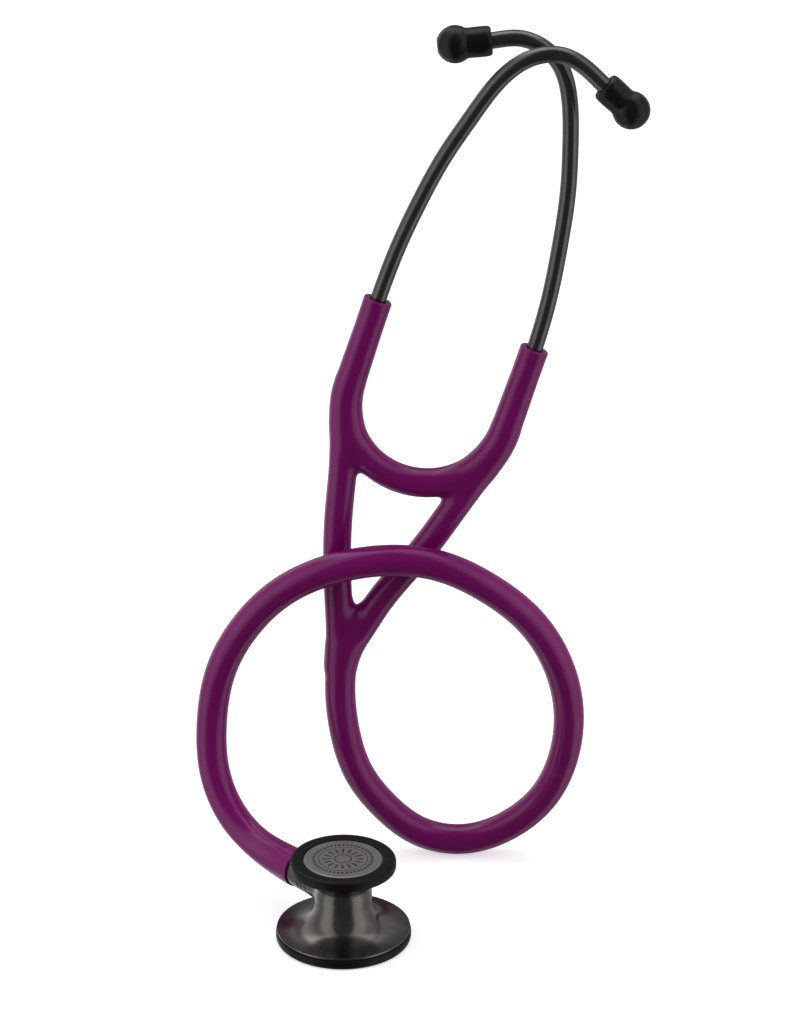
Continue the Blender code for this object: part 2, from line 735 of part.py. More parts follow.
def make_stem(steel, dark_metal, black_rubber):
    """The hollow stem, its collar, O-ring, retaining clip and detent."""
    frame = stem_frame()
    stem = turned("chest_stem", stem_outline(), steel, 24, frame)
    centre = stem_point(0.0)
    cut(stem, rod_between("stem_side_port", centre, centre - Vector((0, 0, STEM_R * 2)), PORT_R * 0.75, 10))
    pocket_floor_r = STEM_BORE_R + 0.0006
    up = Vector((0, 0, 1))
    pocket = stem_point(DETENT_PLACE)
    pocket_r = DETENT_BALL_R + CLOSE_GAP
    pocket_ends = pocket + up * pocket_floor_r, pocket + up * STEM_R * 2
    cut(stem, rod_between("detent_pocket", *pocket_ends, pocket_r, 12))
    collar = [
        (STEM_BORE_WALL_R, COLLAR_START),
        (COLLAR_R, COLLAR_START),
        (COLLAR_R, COLLAR_END),
        (STEM_BORE_WALL_R, COLLAR_END),
    ]
    turned("stem_collar", collar, dark_metal, 28, frame)
    ring_r = STEM_BORE_WALL_R - O_RING_R - CLOSE_GAP
    turned("stem_o_ring", arc((ring_r, O_RING_PLACE), O_RING_R, 0.0, 315.0, 7), black_rubber, 24, frame)
    make_clip(steel)
    ball_up = STEM_BORE_WALL_R - CLOSE_GAP - DETENT_BALL_R
    ball("detent_ball", pocket + up * ball_up, DETENT_BALL_R, steel, segments=12, rings=8)
    make_detent_spring(pocket, pocket_floor_r + CLOSE_GAP, ball_up - DETENT_BALL_R - CLOSE_GAP, steel)


def make_clip(steel):
    """An open C clip in the stem's inner groove."""
    inner_r = STEM_R - 2 * O_RING_R + GAP
    middle_r = (inner_r + CLIP_R) / 2
    centre = stem_point(CLIP_PLACE)
    across = STEM_AXIS.cross(Vector((0, 0, 1)))
    line = []
    for angle, height in arc((0.0, 0.0), middle_r, -60.0, 240.0, 20):
        line.append(centre + across * angle + Vector((0, 0, 1)) * height)
    half_t = CLIP_THICKNESS / 2
    half_w = (CLIP_R - inner_r) / 2
    bm = bmesh.new()
    layers = []
    for point in line:
        outward = (point - centre).normalized()
        corners = [(-half_w, -half_t), (half_w, -half_t), (half_w, half_t), (-half_w, half_t)]
        layers.append([bm.verts.new(point + outward * u + STEM_AXIS * v) for u, v in corners])
    for before, after in zip(layers, layers[1:]):
        for i in range(4):
            j = (i + 1) % 4
            bm.faces.new((before[i], before[j], after[j], after[i]))
    bm.faces.new(layers[0])
    bm.faces.new(layers[-1])
    add_piece("stem_retaining_ring", bm, steel)


def make_detent_spring(pocket, low, high, steel):
    """A short coil between the pocket's floor and the ball."""
    coil_r = DETENT_BALL_R - DETENT_WIRE_R - CLOSE_GAP
    height = high - low - 2 * DETENT_WIRE_R
    steps = round(DETENT_TURNS * 12)
    line = []
    for index in range(steps + 1):
        share = index / steps
        angle = math.tau * DETENT_TURNS * share
        rise = low + DETENT_WIRE_R + height * share
        line.append(pocket + Vector((coil_r * math.cos(angle), coil_r * math.sin(angle), rise)))
    swept_rod("detent_spring", line, DETENT_WIRE_R, 6, steel)


def main():
    clear_scene()
    plum = finish("plum_vinyl", (0.16, 0.012, 0.12), 0.32)
    steel = finish("smoke_steel", (0.30, 0.28, 0.27), 0.22, 1.0)
    spring_steel = finish("spring_steel", (0.45, 0.45, 0.46), 0.35, 1.0)
    dark_metal = finish("graphite_metal", (0.035, 0.036, 0.038), 0.32, 1.0)
    black_rubber = finish("black_rubber", (0.012, 0.012, 0.013), 0.45)
    brass = finish("bright_insert", (0.55, 0.55, 0.56), 0.3, 1.0)
    grey_disc = finish("grey_disc", (0.30, 0.30, 0.31), 0.4)
    make_yoke(plum, spring_steel)
    make_main_tube(plum)
    make_arm(LEFT, "left", plum, dark_metal, black_rubber, brass)
    make_arm(RIGHT, "right", plum, dark_metal, black_rubber, brass)
    make_chestpiece(steel, black_rubber, grey_disc)
    make_stem(spring_steel, dark_metal, black_rubber)


main()
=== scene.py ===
"""Looks of a double-sided stethoscope that stands on its large diaphragm side.

Plum tubing, graphite ear tubes, black soft tips and a smoke-steel chestpiece, in metres with +Z up.
"""

import logging
import math
from dataclasses import dataclass, field
from enum import Enum
from typing import Callable, Iterable, Sequence

import bmesh
import bpy
import numpy as np
from mathutils import Matrix, Vector


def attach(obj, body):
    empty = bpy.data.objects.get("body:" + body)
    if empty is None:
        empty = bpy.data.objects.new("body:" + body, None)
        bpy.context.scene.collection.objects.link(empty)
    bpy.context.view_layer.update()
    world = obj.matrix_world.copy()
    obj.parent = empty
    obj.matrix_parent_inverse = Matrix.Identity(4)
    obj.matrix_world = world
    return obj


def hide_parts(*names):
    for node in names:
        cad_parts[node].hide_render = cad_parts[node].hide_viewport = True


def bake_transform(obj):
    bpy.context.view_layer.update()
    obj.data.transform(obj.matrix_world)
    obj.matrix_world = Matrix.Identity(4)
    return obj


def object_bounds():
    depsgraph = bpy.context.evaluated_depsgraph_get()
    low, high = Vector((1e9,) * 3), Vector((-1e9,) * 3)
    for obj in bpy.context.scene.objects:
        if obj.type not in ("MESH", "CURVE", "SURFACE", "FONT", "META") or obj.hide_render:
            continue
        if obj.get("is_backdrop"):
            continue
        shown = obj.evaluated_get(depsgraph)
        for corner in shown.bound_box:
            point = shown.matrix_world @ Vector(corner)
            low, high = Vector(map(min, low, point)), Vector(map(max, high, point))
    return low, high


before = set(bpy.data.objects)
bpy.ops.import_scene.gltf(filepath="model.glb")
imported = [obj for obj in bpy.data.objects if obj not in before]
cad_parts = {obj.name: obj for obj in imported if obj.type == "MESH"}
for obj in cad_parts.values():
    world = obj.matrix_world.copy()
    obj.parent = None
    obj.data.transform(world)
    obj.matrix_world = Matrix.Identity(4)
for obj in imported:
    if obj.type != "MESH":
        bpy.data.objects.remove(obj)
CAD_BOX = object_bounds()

LOG = logging.getLogger("stethoscope")
Colour = tuple[float, float, float]
Outline = list[tuple[float, float]]
Places = Sequence[tuple[float, float, float]]
Socket = bpy.types.NodeSocket


class Body(Enum):
    """The moving bodies that pieces ride on."""

    TUBING = "tubing"
    CHEST_HEAD = "chest_head"
    LARGE_DISC = "large_disc"
    SMALL_DISC = "small_disc"


class Side(Enum):
    """The wearer's two arms: the left one crosses in front."""

    LEFT = -1.0
    RIGHT = 1.0

    @property
    def word(self) -> str:
        """The side's name in lower case."""
        return self.name.lower()

    @property
    def arm(self) -> str:
        """The body of this side's arm."""
        return f"{self.word}_arm"

    @property
    def tip(self) -> str:
        """The body of this side's eartip."""
        return f"{self.word}_tip"


# --------------------------------------------------------------------------- finishes


class NodeBoard:
    """Places and links shader nodes in one material."""

    def __init__(self, name: str) -> None:
        """Starts a material with its Principled shader.

        Args:
            name: The material's name.
        """
        self.material = bpy.data.materials.new(name)
        self.material.use_nodes = True
        self.nodes = self.material.node_tree.nodes
        self.links = self.material.node_tree.links
        self.shader = self.nodes["Principled BSDF"]
        coordinates = self.nodes.new("ShaderNodeTexCoord")
        self.place = coordinates.outputs["Object"]

    def set(self, **values: object) -> None:
        """Sets sockets of the Principled shader; an underscore stands for a space.

        Args:
            values: Socket names and their constant values.
        """
        for key, value in values.items():
            self.shader.inputs[key.replace("_", " ")].default_value = value

    def wire(self, source: Socket, socket: str) -> None:
        """Links an output to a socket of the Principled shader."""
        self.links.new(source, self.shader.inputs[socket])

    def noise(self, scale: float, detail: float = 2.0, stretch: Sequence[float] = (1, 1, 1)) -> Socket:
        """A noise value over the piece.

        Args:
            scale: How many features there are in a metre.
            detail: How many finer layers are added.
            stretch: How much finer the noise is along each axis.

        Returns:
            The noise's factor output.
        """
        mapping = self.nodes.new("ShaderNodeMapping")
        mapping.inputs["Scale"].default_value = stretch
        self.links.new(self.place, mapping.inputs["Vector"])
        node = self.nodes.new("ShaderNodeTexNoise")
        node.inputs["Scale"].default_value = scale
        node.inputs["Detail"].default_value = detail
        self.links.new(mapping.outputs["Vector"], node.inputs["Vector"])
        return node.outputs["Fac"]

    def spread(self, source: Socket, low: float, high: float) -> Socket:
        """Maps the middle of a noise's range onto low to high.

        Args:
            source: The noise value.
            low: What the middle range starts from.
            high: What it ends at.

        Returns:
            The mapped value.
        """
        node = self.nodes.new("ShaderNodeMapRange")
        node.inputs["From Min"].default_value = 0.3
        node.inputs["From Max"].default_value = 0.7
        node.inputs["To Min"].default_value = low
        node.inputs["To Max"].default_value = high
        self.links.new(source, node.inputs["Value"])
        return node.outputs["Result"]

    def blend(self, share: Socket, first: Colour, second: Colour) -> Socket:
        """A colour between two, by a share from 0 to 1.

        Args:
            share: The share of the second colour.
            first: The colour at 0.
            second: The colour at 1.

        Returns:
            The mixed colour.
        """
        node = self.nodes.new("ShaderNodeMix")
        node.data_type = "RGBA"
        # The colour version of the node has its own A, B and Result sockets.
        for socket in node.inputs:
            if socket.type == "RGBA":
                socket.default_value = (*(first if socket.name == "A" else second), 1.0)
        self.links.new(share, node.inputs["Factor"])
        return next(socket for socket in node.outputs if socket.type == "RGBA")

    def sum_of(self, parts: Iterable[tuple[Socket, float]]) -> Socket:
        """Adds several values, each with its weight.

        Args:
            parts: Each value with its weight.

        Returns:
            The sum.
        """
        total = None
        for source, weight in parts:
            node = self.nodes.new("ShaderNodeMath")
            node.operation = "MULTIPLY_ADD"
            self.links.new(source, node.inputs[0])
            node.inputs[1].default_value = weight
            node.inputs[2].default_value = 0.0
            if total is not None:
                self.links.new(total, node.inputs[2])
            total = node.outputs[0]
        return total

    def math(self, operation: str, *values: object) -> Socket:
        """A math node whose inputs are outputs or numbers.

        Args:
            operation: The node's operation.
            values: Its inputs, in order.

        Returns:
            The result.
        """
        node = self.nodes.new("ShaderNodeMath")
        node.operation = operation
        for socket, value in zip(node.inputs, values):
            if isinstance(value, (int, float)):
                socket.default_value = value
            else:
                self.links.new(value, socket)
        return node.outputs[0]

    def offsets(self, centre: Vector) -> tuple[Socket, Socket, Socket]:
        """The X, Y and Z of a place, measured from a centre.

        Args:
            centre: The point to measure from.

        Returns:
            The three distances.
        """
        across = self.nodes.new("ShaderNodeVectorMath")
        across.operation = "SUBTRACT"
        across.inputs[1].default_value = centre
        self.links.new(self.place, across.inputs[0])
        parts = self.nodes.new("ShaderNodeSeparateXYZ")
        self.links.new(across.outputs[0], parts.inputs[0])
        return parts.outputs[0], parts.outputs[1], parts.outputs[2]

    def radius(self, x: Socket, y: Socket) -> Socket:
        """The distance from an upright axis."""
        return self.math("SQRT", self.math("ADD", self.math("POWER", x, 2.0), self.math("POWER", y, 2.0)))

    def relief(self, height: Socket, depth: float, strength: float = 1.0) -> None:
        """Gives the surface a fine relief from a height value.

        Args:
            height: The height, from 0 to 1.
            depth: The real depth of the relief.
            strength: How much of it shows.
        """
        node = self.nodes.new("ShaderNodeBump")
        node.inputs["Strength"].default_value = strength
        node.inputs["Distance"].default_value = depth
        self.links.new(height, node.inputs["Height"])
        self.wire(node.outputs["Normal"], "Normal")


@dataclass(frozen=True)
class MouldedVinyl:
    """Soft plasticised tubing: deep plum with a satin gloss."""

    name: str = "plum_vinyl"
    slot: str = "plum_tubing"
    deep: Colour = (0.190, 0.0024, 0.122)
    clear: Colour = (0.226, 0.0034, 0.148)
    roughness: float = 0.21

    def make(self) -> bpy.types.Material:
        """Builds the material: cloudy pigment, slight scatter and a faint moulded skin.

        Returns:
            The material.
        """
        board = NodeBoard(self.name)
        cloud = board.sum_of([(board.noise(70.0, 3.0), 0.75), (board.noise(900.0, 2.0), 0.25)])
        board.wire(board.blend(board.spread(cloud, 0.0, 1.0), self.deep, self.clear), "Base Color")
        gloss = board.spread(board.noise(160.0, 4.0), self.roughness - 0.03, self.roughness + 0.05)
        board.wire(gloss, "Roughness")
        board.set(IOR=1.45, Subsurface_Weight=0.12, Subsurface_Scale=0.0012)
        board.set(Subsurface_Radius=(1.0, 0.12, 0.6))
        skin = board.sum_of([(board.noise(1100.0, 2.0), 0.5), (board.noise(200.0, 2.0), 0.5)])
        board.relief(skin, 0.00004, 0.35)
        return board.material


@dataclass(frozen=True)
class SatinMetal:
    """A metal with a soft gloss and fine drawn lines."""

    name: str
    slot: str
    colour: Colour
    roughness: float
    grain: Sequence[float] = (1.0, 1.0, 0.15)

    def make(self) -> bpy.types.Material:
        """Builds the material: fine grain in gloss and relief, with slight changes of tone.

        Returns:
            The material.
        """
        board = NodeBoard(self.name)
        tone = board.noise(220.0, 3.0)
        paler = tuple(min(1.0, part * 1.10) for part in self.colour)
        darker = tuple(part * 0.91 for part in self.colour)
        board.wire(board.blend(board.spread(tone, 0.0, 1.0), darker, paler), "Base Color")
        lines = board.noise(2600.0, 2.0, self.grain)
        board.wire(board.spread(lines, self.roughness - 0.02, self.roughness + 0.02), "Roughness")
        board.set(Metallic=1.0)
        board.relief(lines, 0.000002, 0.1)
        return board.material


@dataclass(frozen=True)
class TurnedSteel:
    """Smoke-coated steel, turned and polished, with faint rings about an upright axis."""

    centre: Vector
    name: str = "smoke_steel"
    slot: str = "smoke_steel"
    colour: Colour = (0.205, 0.193, 0.184)
    roughness: float = 0.23

    def make(self) -> bpy.types.Material:
        """Builds the material: ring lines by height and radius, and soft polishing clouds.

        Returns:
            The material.
        """
        board = NodeBoard(self.name)
        x, y, z = board.offsets(self.centre)
        along = board.math("ADD", board.radius(x, y), board.math("MULTIPLY", z, 1.3))
        rings = board.nodes.new("ShaderNodeTexNoise")
        rings.noise_dimensions = "1D"
        rings.inputs["Scale"].default_value = 5200.0
        rings.inputs["Detail"].default_value = 2.0
        board.links.new(along, rings.inputs["W"])
        cloud = board.noise(120.0, 4.0)
        paler = tuple(part * 1.15 for part in self.colour)
        darker = tuple(part * 0.85 for part in self.colour)
        board.wire(board.blend(board.spread(cloud, 0.0, 1.0), darker, paler), "Base Color")
        gloss = board.sum_of([(rings.outputs["Fac"], 0.5), (cloud, 0.5)])
        board.wire(board.spread(gloss, self.roughness - 0.05, self.roughness + 0.07), "Roughness")
        board.set(Metallic=1.0)
        board.relief(rings.outputs["Fac"], 0.000006, 0.2)
        return board.material


@dataclass(frozen=True)
class SoftRubber:
    """Black rubber with a dry skin and a little dust in its tone."""

    name: str
    slot: str = "black_rubber"
    colour: Colour = (0.0035, 0.0037, 0.0036)
    roughness: float = 0.32
    level: float = 0.36

    def make(self) -> bpy.types.Material:
        """Builds the material: uneven tone and gloss with a fine matt relief.

        Returns:
            The material.
        """
        board = NodeBoard(self.name)
        paler = tuple(part * 1.7 for part in self.colour)
        dust = board.spread(board.noise(400.0, 4.0), 0.0, 1.0)
        board.wire(board.blend(dust, self.colour, paler), "Base Color")
        gloss = board.spread(board.noise(700.0, 3.0), self.roughness - 0.07, self.roughness + 0.09)
        board.wire(gloss, "Roughness")
        board.set(Specular_IOR_Level=self.level)
        board.relief(board.noise(3200.0, 2.0), 0.00003, 0.4)
        return board.material


@dataclass(frozen=True)
class PrintedDisc:
    """A grey satin disc with a plain printed dial: rings and two circles of ticks."""

    centre: Vector
    face_r: float
    name: str = "printed_disc"
    slot: str = "grey_disc"
    base: Colour = (0.270, 0.268, 0.272)
    ink: Colour = (0.018, 0.018, 0.020)
    rings: Sequence[tuple[float, float]] = ((0.625, 0.020), (0.215, 0.030))
    tick_circles: Sequence[tuple[float, float, float, float]] = (
        (44.0, 0.745, 0.085, 0.27),
        (16.0, 0.420, 0.200, 0.15),
    )

    def make(self) -> bpy.types.Material:
        """Builds the material: the dial's ink over a brushed grey face.

        Returns:
            The material.
        """
        board = NodeBoard(self.name)
        x, y, _ = board.offsets(self.centre)
        share = board.math("DIVIDE", board.radius(x, y), self.face_r)
        turn = board.math("DIVIDE", board.math("ARCTAN2", y, x), math.tau)
        rings = [board.math("COMPARE", share, middle, width / 2) for middle, width in self.rings]
        for count, middle, width, breadth in self.tick_circles:
            tick = board.math("PINGPONG", board.math("MULTIPLY", turn, count), 0.5)
            band = board.math("COMPARE", share, middle, width / 2)
            rings.append(board.math("MULTIPLY", board.math("LESS_THAN", tick, breadth), band))
        ink = rings[0]
        for ring in rings[1:]:
            ink = board.math("MAXIMUM", ink, ring)
        worn = board.math("MULTIPLY", ink, board.spread(board.noise(900.0, 3.0), 0.80, 0.97))
        board.wire(board.blend(worn, self.base, self.ink), "Base Color")
        board.wire(board.spread(board.noise(500.0, 3.0), 0.30, 0.42), "Roughness")
        board.set(Metallic=0.55)
        board.relief(board.noise(2400.0, 2.0), 0.00002, 0.3)
        return board.material


@dataclass(frozen=True)
class PaleFloor:
    """A plain white studio floor with a barely uneven tone, lit a little from within."""

    name: str = "pale_floor"
    own_light: float = 0.52

    def make(self) -> bpy.types.Material:
        """Builds the matt floor material.

        Returns:
            The material.
        """
        board = NodeBoard(self.name)
        tone = board.spread(board.noise(2.0, 2.0), 0.0, 1.0)
        board.wire(board.blend(tone, (0.88, 0.88, 0.885), (0.90, 0.90, 0.90)), "Base Color")
        board.set(Roughness=1.0, Specular_IOR_Level=0.0, Emission_Color=(1.0, 1.0, 1.0, 1.0))
        board.set(Emission_Strength=self.own_light)
        return board.material


# --------------------------------------------------------------------------- routes and meshes


@dataclass
class Route:
    """A centre line as points close enough together to look smooth."""

    points: np.ndarray

    @classmethod
    def through(cls, places: Iterable[Sequence[float]], spacing: float) -> "Route":
        """A natural cubic curve through places, with even spacing.

        Args:
            places: The points to pass through.
            spacing: The wanted distance between the route's points.

        Returns:
            The route.
        """
        knots = np.array([tuple(place) for place in places], float)
        spans = np.linalg.norm(np.diff(knots, axis=0), axis=1)
        count = len(knots)
        matrix = np.eye(count)
        right = np.zeros((count, 3))
        for i in range(1, count - 1):
            matrix[i, i - 1 : i + 2] = spans[i - 1] / 6, (spans[i - 1] + spans[i]) / 3, spans[i] / 6
            right[i] = (knots[i + 1] - knots[i]) / spans[i] - (knots[i] - knots[i - 1]) / spans[i - 1]
        bend = np.linalg.solve(matrix, right)
        fine = []
        for i, span in enumerate(spans):
            b = np.arange(0.0, 1.0, 0.04)[:, None]
            a = 1.0 - b
            curve = ((a**3 - a) * bend[i] + (b**3 - b) * bend[i + 1]) * span**2 / 6
            fine.append(a * knots[i] + b * knots[i + 1] + curve)
        return cls(np.concatenate([*fine, knots[-1:]])).resampled(spacing)

    @property
    def walked(self) -> np.ndarray:
        """The distance along the route at each point."""
        return np.concatenate([[0.0], np.cumsum(np.linalg.norm(np.diff(self.points, axis=0), axis=1))])

    @property
    def length(self) -> float:
        """The whole length."""
        return float(self.walked[-1])

    def at(self, distances: np.ndarray) -> np.ndarray:
        """Points at these distances along the route."""
        walked = self.walked
        return np.stack([np.interp(distances, walked, self.points[:, k]) for k in range(3)], axis=1)

    def resampled(self, spacing: float) -> "Route":
        """The same line with evenly spaced points."""
        count = max(2, round(self.length / spacing) + 1)
        return Route(self.at(np.linspace(0.0, self.length, count)))

    def between(self, start: float, end: float) -> "Route":
        """The stretch between two distances along the route.

        Args:
            start: Where the stretch begins.
            end: Where it ends.

        Returns:
            The stretch as a route of its own.
        """
        walked = self.walked
        inner = self.points[(walked > start + 1e-6) & (walked < end - 1e-6)]
        return Route(np.concatenate([self.at(np.array([start])), inner, self.at(np.array([end]))]))

    def frames(self) -> list[tuple[np.ndarray, np.ndarray, np.ndarray, np.ndarray]]:
        """Each point with its direction and two cross directions that don't twist.

        Returns:
            A point, its direction and the two cross directions, for each point.
        """
        found = []
        cross = np.array([0.0, 1.0, 0.0])
        for i, point in enumerate(self.points):
            direction = self.points[min(i + 1, len(self.points) - 1)] - self.points[max(i - 1, 0)]
            direction = direction / np.linalg.norm(direction)
            cross = cross - direction * (cross @ direction)
            cross = cross / np.linalg.norm(cross)
            found.append((point, direction, np.cross(direction, cross), cross))
        return found


def dress(piece: bpy.types.Object, material: bpy.types.Material) -> bpy.types.Object:
    """Gives a piece its material.

    Args:
        piece: The piece to dress.
        material: Its material.

    Returns:
        The same piece.
    """
    piece.data.materials.clear()
    piece.data.materials.append(material)
    return piece


def make_object(name: str, bm: bmesh.types.BMesh, sharp: float = 38.0) -> bpy.types.Object:
    """Turns a bmesh into a smooth-shaded object.

    Args:
        name: The piece's name.
        bm: The mesh, which is freed.
        sharp: Edges that bend more than this many degrees stay crisp.

    Returns:
        The new object.
    """
    bmesh.ops.recalc_face_normals(bm, faces=bm.faces)
    mesh = bpy.data.meshes.new(name)
    bm.to_mesh(mesh)
    bm.free()
    mesh.shade_smooth()
    mesh.set_sharp_from_angle(angle=math.radians(sharp))
    piece = bpy.data.objects.new(name, mesh)
    bpy.context.scene.collection.objects.link(piece)
    return piece


def bridge(bm: bmesh.types.BMesh, before: list, after: list) -> None:
    """Joins two loops, or a loop and a single point, with faces.

    Args:
        bm: The mesh to add to.
        before: The first loop.
        after: The next loop.
    """
    count = max(len(before), len(after))
    for i in range(count):
        j = (i + 1) % count
        corners = [before[i % len(before)], before[j % len(before)]]
        corners += [after[j % len(after)], after[i % len(after)]]
        corners = [corner for k, corner in enumerate(corners) if corner not in corners[:k]]
        if len(corners) > 2:
            bm.faces.new(corners)


def sweep(
    bm: bmesh.types.BMesh,
    route: Route,
    radius_at: Callable[[float], float],
    sides: int,
    start_round: float = 0.0,
    end_round: float = 0.0,
) -> None:
    """Adds a closed round tube along a route.

    Args:
        bm: The mesh to add to.
        route: The centre line.
        radius_at: The radius at a distance along the route.
        sides: How many sides the section has.
        start_round: The radius of the soft edge at the route's start.
        end_round: The radius of the soft edge at the route's end.
    """
    walked = route.walked
    corner = [(math.sin(math.pi * k / 10) - 1.0, 1.0 - math.cos(math.pi * k / 10)) for k in range(6)]
    layers = []
    for (point, direction, across, cross), distance in zip(route.frames(), walked):
        stations = [(0.0, 0.0)]
        if start_round and distance == walked[0]:
            stations = [(-shift * start_round, drop * start_round) for shift, drop in reversed(corner)]
        if end_round and distance == walked[-1]:
            stations = [(shift * end_round, drop * end_round) for shift, drop in corner]
        for shift, drop in stations:
            radius = radius_at(distance) - drop
            loop = []
            for k in range(sides):
                angle = math.tau * k / sides
                offset = across * math.cos(angle) * radius + cross * math.sin(angle) * radius
                loop.append(bm.verts.new(point + direction * shift + offset))
            layers.append(loop)
    for before, after in zip(layers, layers[1:]):
        bridge(bm, before, after)
    bm.faces.new(layers[0])
    bm.faces.new(layers[-1])


def soften(corners: Sequence[tuple[float, float, float]], steps: int = 5) -> Outline:
    """Rounds the corners of a closed outline.

    Args:
        corners: Radius, height and how far back each corner's rounding starts.
        steps: How many pieces each rounding has.

    Returns:
        The outline's points.
    """
    outline = []
    for i, (radius, height, size) in enumerate(corners):
        here = np.array([radius, height])
        if size <= 0.0:
            outline.append((radius, height))
            continue
        ends = []
        for other in (corners[i - 1], corners[(i + 1) % len(corners)]):
            way = np.array(other[:2]) - here
            reach = np.linalg.norm(way)
            ends.append(here + way / reach * min(size, reach * 0.49))
        for k in range(steps + 1):
            t = k / steps
            place = (1 - t) ** 2 * ends[0] + 2 * t * (1 - t) * here + t * t * ends[1]
            outline.append((float(place[0]), float(place[1])))
    return outline


def turn(name: str, outline: Outline, place: Matrix, steps: int = 120) -> bpy.types.Object:
    """Turns a closed outline about the Z axis of a place.

    Args:
        name: The piece's name.
        outline: Radius and height of each point.
        place: Where the axis stands.
        steps: How many steps go round.

    Returns:
        The new object, with its place in its mesh.
    """
    bm = bmesh.new()
    loops = []
    for radius, height in outline:
        if radius < 1e-6:
            loops.append([bm.verts.new(place @ Vector((0.0, 0.0, height)))])
            continue
        loop = []
        for k in range(steps):
            angle = math.tau * k / steps
            corner = Vector((radius * math.cos(angle), radius * math.sin(angle), height))
            loop.append(bm.verts.new(place @ corner))
        loops.append(loop)
    for before, after in zip(loops, loops[1:] + loops[:1]):
        if len(before) > 1 or len(after) > 1:
            bridge(bm, before, after)
    return make_object(name, bm)


def place_along(axis: Sequence[float], place: Sequence[float]) -> Matrix:
    """A place whose Z axis is the given direction."""
    return Matrix.Translation(Vector(place)) @ Vector(axis).to_track_quat("Z", "Y").to_matrix().to_4x4()


@dataclass
class TubeField:
    """The distance to several round tubes that run into each other with soft fillets."""

    tubes: list[tuple[np.ndarray, np.ndarray]]
    fillets: list[float]

    @staticmethod
    def one(places: np.ndarray, points: np.ndarray, radii: np.ndarray) -> np.ndarray:
        """The distance from places to one tube's surface.

        Args:
            places: The points to measure from.
            points: The tube's centre line.
            radii: Its radius at each point.

        Returns:
            The distances, below zero inside the tube.
        """
        best = np.full(len(places), np.inf)
        for a, b, start_r, end_r in zip(points, points[1:], radii, radii[1:]):
            way = b - a
            share = np.clip((places - a) @ way / (way @ way), 0.0, 1.0)
            gap = np.linalg.norm(places - a - share[:, None] * way, axis=1)
            best = np.minimum(best, gap - start_r - (end_r - start_r) * share)
        return best

    def value(self, places: np.ndarray) -> np.ndarray:
        """The distance from places to the joined surface.

        Args:
            places: The points to measure from.

        Returns:
            The distances, below zero inside.
        """
        total = self.one(places, *self.tubes[0])
        for tube, fillet in zip(self.tubes[1:], self.fillets):
            other = self.one(places, *tube)
            mix = np.maximum(fillet - np.abs(total - other), 0.0) / fillet
            total = np.minimum(total, other) - mix * mix * fillet / 4
        return total

    def normal(self, places: np.ndarray) -> np.ndarray:
        """The outward direction of the field at places.

        Args:
            places: The points to look at.

        Returns:
            A unit direction for each point.
        """
        step = 2e-5
        slopes = [self.value(places + way) - self.value(places - way) for way in np.eye(3) * step]
        slopes = np.stack(slopes, axis=1)
        return slopes / np.maximum(np.linalg.norm(slopes, axis=1, keepdims=True), 1e-12)

    def settle(self, places: np.ndarray, rounds: int = 3) -> np.ndarray:
        """Moves places onto the joined surface.

        Args:
            places: The points to move.
            rounds: How many times they are moved.

        Returns:
            The moved points.
        """
        for _ in range(rounds):
            places = places - self.normal(places) * self.value(places)[:, None]
        return places


# --------------------------------------------------------------------------- sub-assemblies


@dataclass
class Stance:
    """Where the chestpiece, its stem and the headset's leaning plane are."""

    chest_axis: Vector = field(default_factory=lambda: Vector((-0.0382, -0.0229, 0.0)))
    leg_merge: Vector = field(default_factory=lambda: Vector((-0.0389, 0.0321, 0.0809)))
    lean: float = math.radians(18.1)
    stem_bearing: float = math.radians(131.3)
    stem_height: float = 0.016
    leg_spacing: float = 0.0544
    cuff_up: float = 0.1235

    @property
    def up(self) -> Vector:
        """The headset's own upward direction."""
        return Vector((math.sin(self.lean), 0.0, math.cos(self.lean)))

    @property
    def across(self) -> Vector:
        """The headset's own direction from the left arm to the right arm."""
        return Vector((math.cos(self.lean), 0.0, -math.sin(self.lean)))

    @property
    def stem_axis(self) -> Vector:
        """The direction in which the stem leaves the chestpiece."""
        return Vector((math.cos(self.stem_bearing), math.sin(self.stem_bearing), 0.0))

    def headset(self, across: float, up: float, back: float = 0.0) -> Vector:
        """A point of the headset's plane, from the merge of its legs."""
        return self.leg_merge + self.across * across + self.up * up + Vector((0.0, back, 0.0))

    def mirrored(self, side: Side, place: Sequence[float]) -> Vector:
        """A point of the right arm, or its mirror on the left arm, which lies in front."""
        across, up, back = place
        return self.headset(side.value * across, up, side.value * back)

    def stem(self, distance: float) -> Vector:
        """A point on the stem's axis, this far from the chestpiece's own axis."""
        return self.chest_axis + Vector((0.0, 0.0, self.stem_height)) + self.stem_axis * distance


